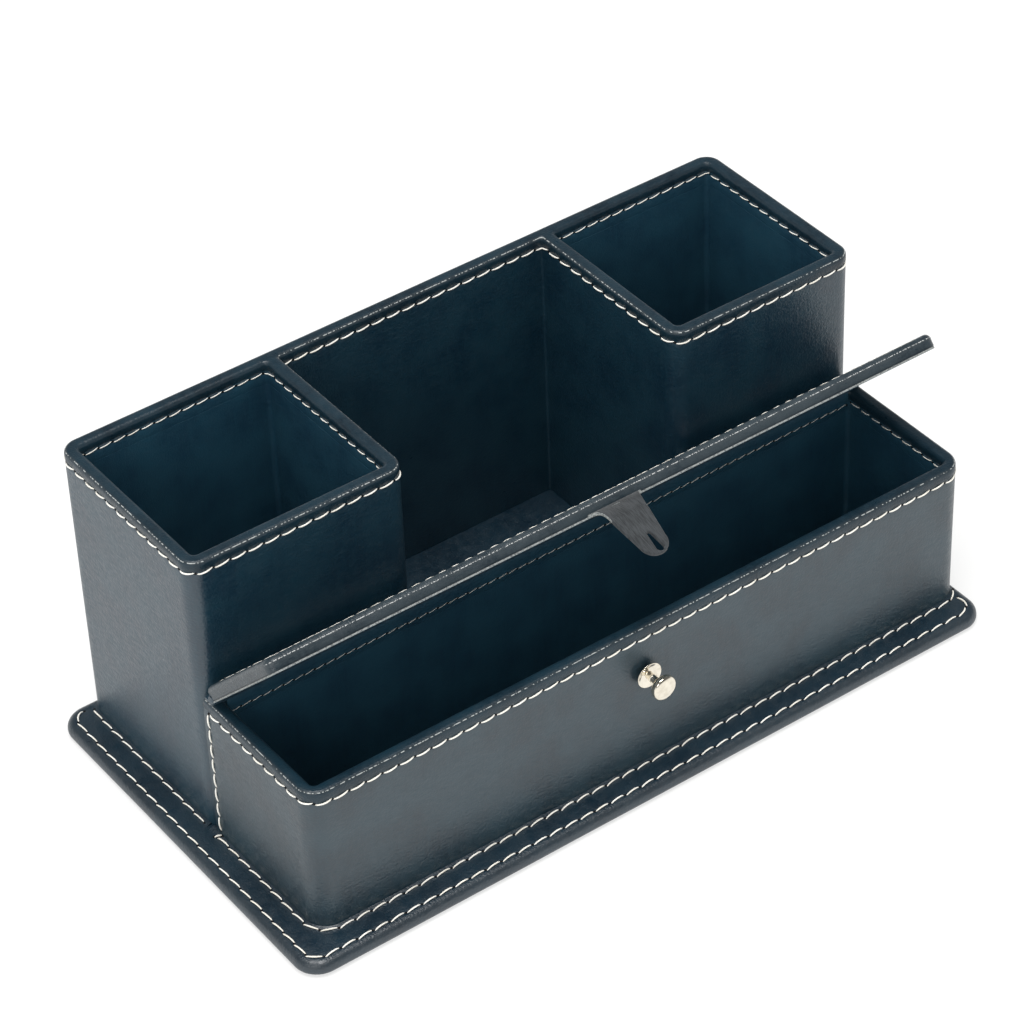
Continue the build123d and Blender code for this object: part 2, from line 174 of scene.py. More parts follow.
@dataclass
class PlanLine:
    """A line in plan with its outward direction at each point; closed ones run anticlockwise."""

    points: np.ndarray
    outward: np.ndarray
    closed: bool = True
    reach: np.ndarray | float = math.inf     # how far each point can be drawn in before a corner turns over

    @classmethod
    def of(cls, points: Sequence[Sequence[float]]) -> "PlanLine":
        """A closed line through points, its outward directions mitred between its edges."""
        here = np.asarray(points, float)
        ahead = unit(np.roll(here, -1, 0) - here)
        behind = np.roll(ahead, 1, 0)
        side_ahead = np.stack([ahead[:, 1], -ahead[:, 0]], -1)
        side_behind = np.stack([behind[:, 1], -behind[:, 0]], -1)
        share = 1 + np.sum(side_ahead * side_behind, axis=1, keepdims=True)
        return cls(here, (side_ahead + side_behind) / share)

    @classmethod
    def rounded(cls, corners: Sequence[tuple[float, float, float]], step: float = SAMPLE_STEP) -> "PlanLine":
        """A closed line with rounded corners, sampled evenly on its straights."""
        arcs: list[list[np.ndarray]] = []
        for index, (x, y, radius) in enumerate(corners):
            corner = np.array([x, y])
            arrive = unit(corner - np.array(corners[index - 1][:2]))
            leave = unit(np.array(corners[(index + 1) % len(corners)][:2]) - corner)
            turn = math.atan2(arrive[0] * leave[1] - arrive[1] * leave[0], float(arrive @ leave))
            if radius <= 0:
                arcs.append([corner])
                continue
            start = corner - arrive * radius * math.tan(abs(turn) / 2)
            side = np.array([-arrive[1], arrive[0]]) * math.copysign(1, turn)
            centre = start + side * radius
            count = max(5, round(radius * abs(turn) / 0.9))
            arc = []
            for t in np.linspace(0, turn, count + 1):
                c, s = math.cos(t), math.sin(t)
                spoke = start - centre
                arc.append(centre + np.array([c * spoke[0] - s * spoke[1], s * spoke[0] + c * spoke[1]]))
            arcs.append(arc)
        points: list[np.ndarray] = []
        for index, arc in enumerate(arcs):
            points.extend(arc)
            end, start = arc[-1], arcs[(index + 1) % len(arcs)][0]
            count = max(1, round(float(np.linalg.norm(start - end)) / step))
            points.extend(end + (start - end) * k / count for k in range(1, count))
        return cls.of(points)

    @classmethod
    def rectangle(cls, x0: float, x1: float, y0: float, y1: float, front: float, rear: float) -> "PlanLine":
        """A rectangle whose front and rear corners have their own radii."""
        line = cls.rounded([(x0, y0, front), (x1, y0, front), (x1, y1, rear), (x0, y1, rear)])
        line.reach = CORNER_REACH * np.where(line.points[:, 1] < (y0 + y1) / 2, front, rear)
        return line

    def portion(self, keep: Callable[[np.ndarray], bool]) -> "PlanLine":
        """The one stretch whose points pass a test, as an open line."""
        kept = np.array([bool(keep(p)) for p in self.points])
        start = next(i for i in range(len(kept))
                     if kept[i] and (not kept[i - 1] or (i == 0 and not self.closed)))
        order = [(start + k) % len(kept) for k in range(int(kept.sum()))]
        return PlanLine(self.points[order], self.outward[order], closed=False)

    def moved(self, out: np.ndarray | float) -> np.ndarray:
        """The points moved outward.

        Drawn in past its reach, the line shrinks towards its middle, so that no corner turns inside out.

        Args:
            out: the distance, for all points or for each.

        Returns:
            The points in plan.
        """
        wanted = np.full(len(self.points), out) if np.isscalar(out) else np.asarray(out)
        near = np.maximum(wanted, -self.reach)[:, None]
        base = self.points + self.outward * near
        short = wanted[:, None] - near
        if not short.any():
            return base
        low, high = self.points.min(axis=0), self.points.max(axis=0)
        middle, half = (low + high) / 2, (high - low) / 2 + near
        return middle + (base - middle) * (1 + short / half)

    def offset(self, out: float, z: float) -> np.ndarray:
        """The line moved outward, at a height."""
        moved = self.moved(out)
        return np.column_stack([moved, np.full(len(moved), z)])

    def along(self) -> np.ndarray:
        """Distance of each point from the first."""
        steps = np.linalg.norm(np.diff(self.points, axis=0), axis=1)
        return np.concatenate([[0.0], np.cumsum(steps)])

    def wall_track(self, z: float, out: float = 0.0, facing: Facing = Facing.OUT) -> Track:
        """The line on an upright surface."""
        flat = unit(self.outward) * facing.value
        return Track(self.offset(out, z), np.column_stack([flat, np.zeros(len(flat))]), self.closed)

    def top_track(self, z: float, out: float) -> Track:
        """The line on a level surface."""
        up = np.tile([0.0, 0.0, 1.0], (len(self.points), 1))
        return Track(self.offset(out, z), up, self.closed)


def curve_through(start: Sequence[float], middle: Sequence[float], end: Sequence[float],
                  count: int) -> list[np.ndarray]:
    """Points of the parabola from start to end that passes middle half-way."""
    a, m, b = (np.asarray(p, float) for p in (start, middle, end))
    pull = 2 * m - 0.5 * (a + b)
    return [a * (1 - t) ** 2 + pull * 2 * t * (1 - t) + b * t ** 2 for t in np.linspace(0, 1, count + 1)]


# ---------------------------------------------------------------- meshes
def encloses(ring: np.ndarray, point: np.ndarray) -> bool:
    """Whether a closed line in plan goes round a point."""
    ahead = np.roll(ring, -1, 0)
    passed = (ring[:, 1] > point[1]) != (ahead[:, 1] > point[1])
    start, end = ring[passed], ahead[passed]
    meets = start[:, 0] + (point[1] - start[:, 1]) * (end[:, 0] - start[:, 0]) / (end[:, 1] - start[:, 1])
    return bool(np.count_nonzero(meets > point[0]) % 2)


class Draft:
    """Points and faces gathered in millimetres before they become one mesh."""

    def __init__(self) -> None:
        """Start empty."""
        self.points: list[np.ndarray] = []
        self.wear: list[float] = []
        self.faces: list[tuple[int, ...]] = []
        self.slots: list[int] = []

    def ring(self, points: np.ndarray, wear: float = 0.0) -> list[int]:
        """Add a row of points."""
        first = len(self.points)
        self.points.extend(np.asarray(points, float))
        self.wear.extend([wear] * len(points))
        return list(range(first, len(self.points)))

    def around(self, line: PlanLine, *places: tuple[float, float]) -> list[list[int]]:
        """Add a row along a plan line for each distance out and height."""
        return [self.ring(line.offset(out, z)) for out, z in places]

    def bridge(self, lower: Sequence[int], upper: Sequence[int], closed: bool = True, slot: int = 0) -> None:
        """Join two rows of as many points by four-sided faces."""
        last = len(lower) if closed else len(lower) - 1
        for k in range(last):
            n = (k + 1) % len(lower)
            self.faces.append((lower[k], lower[n], upper[n], upper[k]))
            self.slots.append(slot)

    def stack(self, rings: Sequence[Sequence[int]], closed: bool = True, slot: int = 0) -> None:
        """Join each row to the next."""
        for lower, upper in zip(rings, rings[1:]):
            self.bridge(lower, upper, closed, slot)

    def solid(self, rings: Sequence[Sequence[int]]) -> None:
        """Join each row to the next and close both ends."""
        self.stack(rings)
        self.face(rings[0])
        self.face(rings[-1])

    def cap(self, *rings: Sequence[int], slot: int = 0) -> None:
        """Close the level area inside the first ring and outside the others with well-shaped triangles."""
        numbers = [i for ring in rings for i in ring]
        plan = np.array([self.points[i][:2] for i in numbers])
        starts = np.cumsum([0] + [len(ring) for ring in rings])
        edges = [(int(a + k), int(a + (k + 1) % (b - a)))
                 for a, b in zip(starts, starts[1:]) for k in range(b - a)]
        holes = [plan[a:b] for a, b in zip(starts[1:], starts[2:])]
        inside_only, nearness = 1, 1e-6
        points, _, triangles, origins, _, _ = geometry.delaunay_2d_cdt(
            [Vector(point) for point in plan], edges, [], inside_only, nearness)
        crossed = [tuple(point) for point, origin in zip(points, origins) if len(origin) != 1]
        if crossed:
            raise ValueError(f"a ring crosses or touches itself at {crossed}")
        for triangle in triangles:
            centre = np.mean([points[i] for i in triangle], axis=0)
            if not any(encloses(hole, centre) for hole in holes):
                self.faces.append(tuple(numbers[origins[i][0]] for i in triangle))
                self.slots.append(slot)

    def face(self, ring: Sequence[int], slot: int = 0) -> None:
        """Close a small ring with one face."""
        self.faces.append(tuple(ring))
        self.slots.append(slot)

    def tube(self, spine: np.ndarray, radii: np.ndarray, up: np.ndarray, sides: int = 6) -> None:
        """Add a closed tube round a short line."""
        ahead = unit(np.gradient(spine, axis=0))
        across = unit(np.cross(ahead, up))
        above = np.cross(across, ahead)
        turns = np.linspace(0, 2 * math.pi, sides, endpoint=False)
        rings = []
        for k in range(len(spine)):
            spokes = np.outer(np.cos(turns), across[k]) + np.outer(np.sin(turns), above[k])
            rings.append(self.ring(spine[k] + radii[k] * spokes))
        self.solid(rings)

    def build(self, name: str, materials: Sequence[bpy.types.Material], sharp: float = 42.0,
              move: Matrix | None = None) -> bpy.types.Object:
        """Make the object.

        Args:
            name: the piece's name.
            materials: finishes, in the order of the faces' slots.
            sharp: edges folded by more degrees than this stay crisp.
            move: a matrix in millimetres for the points, or None.

        Returns:
            The object, linked to the scene.
        """
        points = np.asarray(self.points)
        if move is not None:
            turn = np.array(move)
            points = points @ turn[:3, :3].T + turn[:3, 3]
        mesh = bpy.data.meshes.new(name)
        mesh.from_pydata((points * MM).tolist(), [], self.faces)
        mesh.polygons.foreach_set("material_index", self.slots)
        mesh.attributes.new("wear", "FLOAT", "POINT").data.foreach_set("value", self.wear)
        shaped = bmesh.new()
        shaped.from_mesh(mesh)
        bmesh.ops.recalc_face_normals(shaped, faces=shaped.faces)
        shaped.to_mesh(mesh)
        shaped.free()
        mesh.shade_smooth()
        mesh.set_sharp_from_angle(angle=math.radians(sharp))
        for material in materials:
            mesh.materials.append(material)
        piece = bpy.data.objects.new(name, mesh)
        bpy.context.scene.collection.objects.link(piece)
        LOG.info("%s: %d points, %d faces", name, len(mesh.vertices), len(mesh.polygons))
        return piece


def settle(piece: bpy.types.Object, body: Body | None, slot: str, *replaced: str) -> None:
    """Say which body a piece rides and which nodes it stands for."""
    if body is not None:
        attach(piece, body.value)
    if replaced:
        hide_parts(*replaced)


def lid_matrix() -> Matrix:
    """Closed lid to the frame's open pose, in millimetres."""
    hinge = Vector((0, HINGE_Y, HINGE_Z))
    return Matrix.Translation(hinge) @ Matrix.Rotation(math.radians(-LID_OPEN_ANGLE), 4, "X") @ \
        Matrix.Translation(-hinge)


# ---------------------------------------------------------------- shader maths
def tone(code: str) -> tuple[float, float, float, float]:
    """A display colour such as '20262b' as the scene-linear value that a socket takes."""
    parts = [int(code[k:k + 2], 16) / 255 for k in (0, 2, 4)]
    linear = [p / 12.92 if p <= 0.04045 else ((p + 0.055) / 1.055) ** 2.4 for p in parts]
    return (linear[0], linear[1], linear[2], 1.0)


class Signal:
    """A shader output that takes part in Python arithmetic."""

    def __init__(self, graph: "Graph", socket: bpy.types.NodeSocket) -> None:
        """Wrap a socket of a graph."""
        self.graph = graph
        self.socket = socket

    def __add__(self, other: "Value") -> "Signal":
        """Sum."""
        return self.graph.math("ADD", self, other)

    def __radd__(self, other: "Value") -> "Signal":
        """Sum."""
        return self.graph.math("ADD", other, self)

    def __sub__(self, other: "Value") -> "Signal":
        """Difference."""
        return self.graph.math("SUBTRACT", self, other)

    def __rsub__(self, other: "Value") -> "Signal":
        """Difference from a number."""
        return self.graph.math("SUBTRACT", other, self)

    def __mul__(self, other: "Value") -> "Signal":
        """Product."""
        return self.graph.math("MULTIPLY", self, other)

    def __rmul__(self, other: "Value") -> "Signal":
        """Product."""
        return self.graph.math("MULTIPLY", other, self)


Value = Union[Signal, float, int, Sequence[float]]


class Graph:
    """The node tree of one material or world."""

    def __init__(self, tree: bpy.types.NodeTree) -> None:
        """Take over a node tree and empty it."""
        self.tree = tree
        self.tree.nodes.clear()

    def node(self, kind: str, settings: dict[str, Any] | None = None,
             inputs: dict[Union[str, int], Value] | None = None, out: Union[str, int] = 0) -> Signal:
        """Add a node.

        Args:
            kind: its type without the ShaderNode prefix.
            settings: its properties; stops holds a ramp's positions and greys.
            inputs: what its sockets get, by name or number.
            out: the output that is wanted.

        Returns:
            That output.
        """
        made = self.tree.nodes.new("ShaderNode" + kind)
        for key, value in (settings or {}).items():
            if key == "stops":
                while len(made.color_ramp.elements) < len(value):
                    made.color_ramp.elements.new(0.5)
                for element, (position, grey) in zip(made.color_ramp.elements, value):
                    element.position = position
                    element.color = (grey, grey, grey, 1.0)
            else:
                setattr(made, key, value)
        for key, value in (inputs or {}).items():
            if isinstance(value, Signal):
                self.tree.links.new(value.socket, made.inputs[key])
            else:
                made.inputs[key].default_value = value
        return Signal(self, made.outputs[out]) if len(made.outputs) else Signal(self, made.inputs[0])

    def math(self, operation: str, *values: Value) -> Signal:
        """A Math node on up to three values."""
        return self.node("Math", {"operation": operation}, dict(enumerate(values)))

    def blend(self, factor: Value, first: Value, second: Value) -> Signal:
        """Colour between two colours."""
        return self.node("Mix", {"data_type": "RGBA"}, {0: factor, 6: first, 7: second}, out=2)

    def place(self, stretch: tuple[float, float, float] = (1, 1, 1)) -> Signal:
        """Position on the piece in metres, each axis multiplied by its own number."""
        here = self.node("TexCoord", out="Object")
        if stretch == (1, 1, 1):
            return here
        return self.node("VectorMath", {"operation": "MULTIPLY"}, {0: here, 1: stretch})

    def clouds(self, where: Signal, size: float, detail: float = 3.0) -> Signal:
        """Soft noise from 0 to 1 whose features are about size millimetres across."""
        return self.node("TexNoise", {}, {"Vector": where, "Scale": 1 / (size * MM), "Detail": detail})

    def pebbles(self, where: Signal, size: float) -> Signal:
        """Rounded cells about size millimetres across, high in the middle."""
        cell = self.node("TexVoronoi", {"feature": "SMOOTH_F1"},
                         {"Vector": where, "Scale": 1 / (size * MM), "Smoothness": 0.35})
        return 1.0 - cell

    def steps(self, value: Signal, low: float, high: float) -> Signal:
        """Value stretched so that low gives 0 and high gives 1, smoothly and within them."""
        return self.node("MapRange", {"interpolation_type": "SMOOTHSTEP"},
                         {0: value, 1: low, 2: high, 3: 0.0, 4: 1.0})

    def mask(self, name: str) -> Signal:
        """A mesh attribute."""
        return self.node("Attribute", {"attribute_name": name}, out="Fac")

    def relief(self, height: Signal, strength: float, depth: float) -> Signal:
        """Normal that shows a height of depth millimetres."""
        return self.node("Bump", {}, {"Strength": strength, "Distance": depth * MM, "Height": height})

    def surface(self, sockets: dict[str, Value]) -> None:
        """End the material in one Principled shader."""
        shader = self.node("BsdfPrincipled", {}, sockets)
        self.node("OutputMaterial", {}, {"Surface": shader})


class Finish:
    """What every finish shares: a name and a material made once."""

    name: str

    def draw(self, graph: Graph) -> None:
        """Fill the material's nodes."""
        raise NotImplementedError

    def material(self) -> bpy.types.Material:
        """The finish's material."""
        found = bpy.data.materials.get(self.name)
        if found is None:
            found = bpy.data.materials.new(self.name)
            found.use_nodes = True
            self.draw(Graph(found.node_tree))
        return found


@dataclass(frozen=True)
class LeatherCloth(Finish):
    """Coated leather-cloth with a fine pressed grain and a soft sheen."""

    name: str
    deep: str = "092737"
    pale: str = "153543"
    # colour of the lighter edges: partly rubbing, partly painted sheen
    rubbed_and_sheen: str = "2f363a"
    # colour of the painted highlight specks on the sharpest edges
    glint_highlight: str = "c4c8c6"
    grain: float = 0.75
    grain_depth: float = 0.13
    gloss: float = 0.38
    ior: float = 1.72
    speck: float = 0.8
    shine: float = 0.8

    def draw(self, graph: Graph) -> None:
        """Grain, faint mottling, edges lighter for rubbing and painted sheen, and fine bright specks of
        painted highlight where an edge is sharpest.
        """
        here = graph.place()
        grain = graph.pebbles(here, self.grain)
        fine = graph.clouds(here, self.grain * 0.35, 2.0)
        mottle = graph.clouds(here, 14.0, 4.0)
        streaks = graph.clouds(graph.place((1.0, 1.0, 0.12)), 1.1, 3.0)
        flecks = graph.clouds(graph.place((0.4, 0.4, 1.4)), 0.9, 3.0)
        # the mask marks edges made lighter, partly for rubbing and partly as painted sheen and painted
        # highlight
        wear = graph.mask("wear")
        rubbed_and_sheen = wear * (0.45 + 0.5 * graph.steps(fine, 0.35, 0.65))
        # painted highlight: bright specks where the edge mask peaks
        specks = graph.steps(graph.clouds(here, self.speck, 1.0), 0.46, 0.56)
        painted_glints = self.shine * graph.steps(wear, 0.8, 1.0) * specks
        base = graph.blend(graph.steps(mottle, 0.3, 0.7), tone(self.deep), tone(self.pale))
        tinted = graph.blend(0.5 * graph.steps(0.5 * streaks + 0.5 * flecks, 0.42, 0.6), base,
                             tone(self.pale))
        worn_and_sheened = graph.blend(graph.math("MINIMUM", rubbed_and_sheen, 1.0), tinted, tone(self.rubbed_and_sheen))
        graph.surface({
            "Base Color": graph.blend(painted_glints, worn_and_sheened, tone(self.glint_highlight)),
            "Roughness": self.gloss + 0.06 * (mottle - 0.5) + 0.4 * (flecks - 0.5),
            "Normal": graph.relief(grain + 0.5 * fine + 0.4 * streaks + 1.1 * flecks, 0.5, self.grain_depth),
            "IOR": self.ior,
        })


@dataclass(frozen=True)
class CutEdgeAndHighlight(Finish):
    """Pale core of the cloth where it is cut, made as light as a thin highlight along it: partly painted
    highlight.
    """

    name: str = "cut_edge_and_highlight"
    colour: str = "8d918f"
    dark: str = "4a4e50"

    def draw(self, graph: Graph) -> None:
        """Uneven pale fibres, their paleness partly a painted highlight."""
        fibres = graph.clouds(graph.place(), 0.5, 4.0)
        graph.surface({
            "Base Color": graph.blend(graph.steps(fibres, 0.3, 0.6), tone(self.dark), tone(self.colour)),
            "Roughness": 0.6 + 0.2 * fibres,
            "Normal": graph.relief(fibres, 0.6, 0.08),
        })


@dataclass(frozen=True)
class Suede(Finish):
    """Napped grey cloth of the closure's tab, with fine lines along it."""

    name: str = "tab_suede"
    dark: str = "1d2124"
    pale: str = "3b3f42"

    def draw(self, graph: Graph) -> None:
        """Nap in fine ribs with flecks."""
        ribs = graph.clouds(graph.place((1.0, 0.1, 0.1)), 0.32, 2.0)
        flecks = graph.clouds(graph.place(), 0.25, 3.0)
        broad = graph.clouds(graph.place(), 4.0, 2.0)
        height = 0.9 * ribs + 0.3 * flecks
        graph.surface({
            "Base Color": graph.blend(graph.steps(height + 0.3 * broad, 0.5, 1.0), tone(self.dark),
                                      tone(self.pale)),
            "Roughness": 0.82 + 0.1 * flecks,
            "Normal": graph.relief(height, 0.9, 0.12),
            "Sheen Weight": 0.15,
        })


@dataclass(frozen=True)
class Thread(Finish):
    """Twisted cream sewing thread."""

    name: str = "cream_thread"
    pale: str = "fffdf6"
    # colour of the painted shade in the grooves between plies
    dark: str = "cfc9bb"

    def draw(self, graph: Graph) -> None:
        """Fine plies, darker in the grooves between them as painted shade, and slight soiling."""
        plies = graph.node("TexWave", {"wave_type": "BANDS", "bands_direction": "DIAGONAL"},
                           {"Vector": graph.place(), "Scale": 1100.0, "Distortion": 1.5}, out="Fac")
        soil = graph.clouds(graph.place(), 9.0, 3.0)
        colour = graph.blend(graph.steps(soil, 0.3, 0.75), tone(self.pale), tone("f0ebde"))
        graph.surface({
            # painted shade: darker where the plies dip
            "Base Color": graph.blend(0.3 * (1.0 - plies), colour, tone(self.dark)),
            "Roughness": 0.6 + 0.15 * soil,
            "Normal": graph.relief(plies, 0.35, 0.05),
        })


@dataclass(frozen=True)
class Metal(Finish):
    """Plated metal with faint turning marks."""

    name: str
    colour: str = "efe8d9"
    shade: str = "dcd4c4"
    gloss: float = 0.035

    def draw(self, graph: Graph) -> None:
        """Plating with a slight haze."""
        haze = graph.clouds(graph.place(), 2.5, 4.0)
        scratches = graph.clouds(graph.place((1.0, 6.0, 1.0)), 0.8, 3.0)
        graph.surface({
            "Base Color": graph.blend(graph.steps(haze, 0.35, 0.7), tone(self.colour), tone(self.shade)),
            "Metallic": 1.0,
            "Roughness": self.gloss + 0.05 * haze + 0.04 * scratches,
            "Normal": graph.relief(scratches, 0.12, 0.01),
        })


@dataclass(frozen=True)
class Fibre(Finish):
    """Matt fibrous sheet: board, card or felt."""

    name: str
    dark: str
    pale: str
    size: float = 0.6
    depth: float = 0.1
    rough: float = 0.85

    def draw(self, graph: Graph) -> None:
        """Short fibres over broad patches."""
        fibres = graph.clouds(graph.place((1.0, 0.4, 1.0)), self.size, 5.0)
        patches = graph.clouds(graph.place(), self.size * 18, 3.0)
        graph.surface({
            "Base Color": graph.blend(graph.steps(fibres + 0.4 * patches, 0.45, 0.95), tone(self.dark),
                                      tone(self.pale)),
            "Roughness": self.rough + 0.1 * fibres,
            "Normal": graph.relief(fibres, 0.7, self.depth),
        })


COVER = LeatherCloth("cover_leather")
# a greyer, less blue copy of the cover for the box, whose front faces the light: a lit copy of one leather
BOX_COVER = LeatherCloth("box_cover_leather", deep="0f2530", pale="1b343f")
# a darker copy of the cover for the rims: painted shade on the rim tops
RIM = LeatherCloth("rim_leather", deep="0b1f2a", pale="142d39", grain=0.6, gloss=0.36, ior=1.45)
# a lighter, greyer copy of the cover for the lid's rolled edge, with strong painted highlight specks
LID_EDGE = LeatherCloth("lid_edge_leather", deep="1d2a32", pale="333e44", rubbed_and_sheen="3a4145", glint_highlight="f6f7f4",
                        grain=0.6, grain_depth=0.16, gloss=0.34, ior=1.5, speck=0.5, shine=1.0)
BASE_LEATHER = LeatherCloth("base_leather", deep="0a202d", pale="132b38", gloss=0.38)
# a lighter copy of the cover for the insides, the hinge leaf and the lid's underside: a lit copy that offsets
# the shade there
LINING = LeatherCloth("lining_leather", deep="15374a", pale="1e4658", grain=0.6, grain_depth=0.06, gloss=0.42)
TRIM = LeatherCloth("trim_leather", deep="0c2a3a", pale="143343", grain=0.6, gloss=0.42)
EDGE = CutEdgeAndHighlight()
SUEDE = Suede()
THREAD = Thread()
NICKEL = Metal("nickel_plate")
ZINC = Metal("zinc_plate", colour="c8ccd0", shade="a4a9ad", gloss=0.28)
BOARD = Fibre("fibreboard", dark="6b5138", pale="a78560")
CARD = Fibre("black_card", dark="0d0e10", pale="1c1d20", size=0.4, depth=0.04)
FELT = Fibre("black_felt", dark="0b0b0d", pale="1e1e22", size=0.35, depth=0.2, rough=0.9)
# near-black lenses at the stitch ends: painted shade and shadow
NEEDLE_HOLE_SHADE = Fibre("needle_hole_shade", dark="020304", pale="06080a", size=0.3, depth=0.02)


# ---------------------------------------------------------------- sewing
@dataclass
class Seam:
    """Rows of stitches on one body, gathered into a piece of thread and a piece of near-black lenses that
    paint the shade in the needle holes.
    """

    name: str
    body: Body
    move: Matrix | None = None
    pitch: float = 5.6
    share: float = 0.90          # of the pitch that shows as thread
    radius: float = 0.27
    lift: float = 0.34
    slant: float = 0.6
    threads: Draft = field(default_factory=Draft)
    holes: Draft = field(default_factory=Draft)
    count: int = 0

    def sew(self, track: Track, margin: float = 0.0, pitch: float | None = None, weight: float = 1.0) -> None:
        """Add a row.

        Args:
            track: the line that the row follows.
            margin: bare length at each end of an open line.
            pitch: stitch length for this row, or None for the seam's own.
            weight: how thick the row's thread is, as a share of the seam's own.
        """
        start = 0.0 if track.closed else margin
        run = track.length - 2 * start
        number = max(1, round(run / (pitch or self.pitch)))
        step = run / number
        shares = np.linspace(0, 1, 8)
        bow = np.sin(np.pi * shares)
        for k in range(number):
            wobble = noise.noise(Vector((self.count * 0.73, 4.1, 0.5)))
            length = step * (self.share + 0.05 * wobble)
            begin = start + k * step + (step - length) / 2
            point, normal, direction = track.at(begin + length * shares)
            across = np.cross(normal, direction)
            side = self.slant * (shares - 0.5) * (1 + 0.5 * wobble)
            rise = weight * (-0.22 + (self.lift + 0.22) * bow ** 0.55)
            spine = point + normal * rise[:, None] + across * (side + 0.10 * wobble * bow)[:, None]
            self.threads.tube(spine, weight * self.radius * (0.62 + 0.38 * bow ** 0.5), normal)
            self.count += 1
        ends = np.arange(number if track.closed else number + 1) * step + start
        for point, normal, direction in zip(*track.at(ends)):
            self.hole(point, normal, direction)

    def hole(self, point: np.ndarray, normal: np.ndarray, direction: np.ndarray) -> None:
        """Add one needle hole as a thin near-black lens sunk into the leather: painted shade of the hole and
        of the stitch's shadow.
        """
        across = np.cross(normal, direction)
        turns = np.linspace(0, 2 * math.pi, 8, endpoint=False)
        rings = []
        for radius, height in ((0.16, 0.05), (0.5, 0.02), (0.5, -0.10), (0.16, -0.16)):
            circle = point + normal * height + radius * (
                np.outer(np.cos(turns), direction) + 0.8 * np.outer(np.sin(turns), across))
            rings.append(self.holes.ring(circle))
        self.holes.solid(rings)

    def finish(self) -> None:
        """Turn the rows into pieces."""
        for draft, kind, finish in ((self.threads, "stitches", THREAD),
                                    (self.holes, "needle_hole_shade_lenses", NEEDLE_HOLE_SHADE)):
            piece = draft.build(f"{self.name}_{kind}", [finish.material()], 80, self.move)
            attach(piece, self.body.value)


@dataclass(frozen=True)
class Station:
    """A ring of a swept surface: distance out, height, wear with painted sheen, and the depth of its stitch
    dimples.
    """

    out: float
    z: float
    wear: float = 0.0
    dimple: float = 0.0


def groove(z: float, into: float = 1.0) -> list[Station]:
    """Rings, from the lowest up, of the shallow groove that a row of stitches pulls into a wall.

    Args:
        z: height of the row.
        into: -1 where out points away from the wall, 1 where it points into it.
    """
    shape = [(-1.7, 0.0, 0.0, 0.0), (-0.9, 0.03, 0.0, 0.03), (-0.45, 0.09, 0.0, 0.09),
             (0.0, ROW_DEPTH, 0.05, ROW_DEPTH), (0.45, 0.09, 0.0, 0.09), (0.9, 0.02, 0.1, 0.03),
             (1.5, -0.04, 0.15, 0.0)]
    return [Station(into * depth, z + dz, wear, into * dimple) for dz, depth, wear, dimple in shape]


@dataclass
class Sweep:
    """Rings along one plan line, with a slight unevenness that keeps the surface from looking turned."""

    draft: Draft
    line: PlanLine
    pitch: float = 5.6
    unevenness: float = 0.07

    def ring(self, station: Station, uneven: bool = True) -> list[int]:
        """Add one ring and return its point numbers."""
        along = self.line.along()
        wave = 0.5 + 0.5 * np.cos(2 * np.pi * along / self.pitch)
        out = np.full(len(along), station.out) + station.dimple * wave
        if uneven:
            out = out + self.unevenness * np.array([
                noise.noise(Vector((x * 0.035, y * 0.035, station.z * 0.03))) for x, y in self.line.points])
        points = self.line.moved(out)
        return self.draft.ring(np.column_stack([points, np.full(len(points), station.z)]), station.wear)

    def rings(self, stations: Iterable[Station], uneven: bool = True) -> list[list[int]]:
        """Add rings in order."""
        return [self.ring(station, uneven) for station in stations]


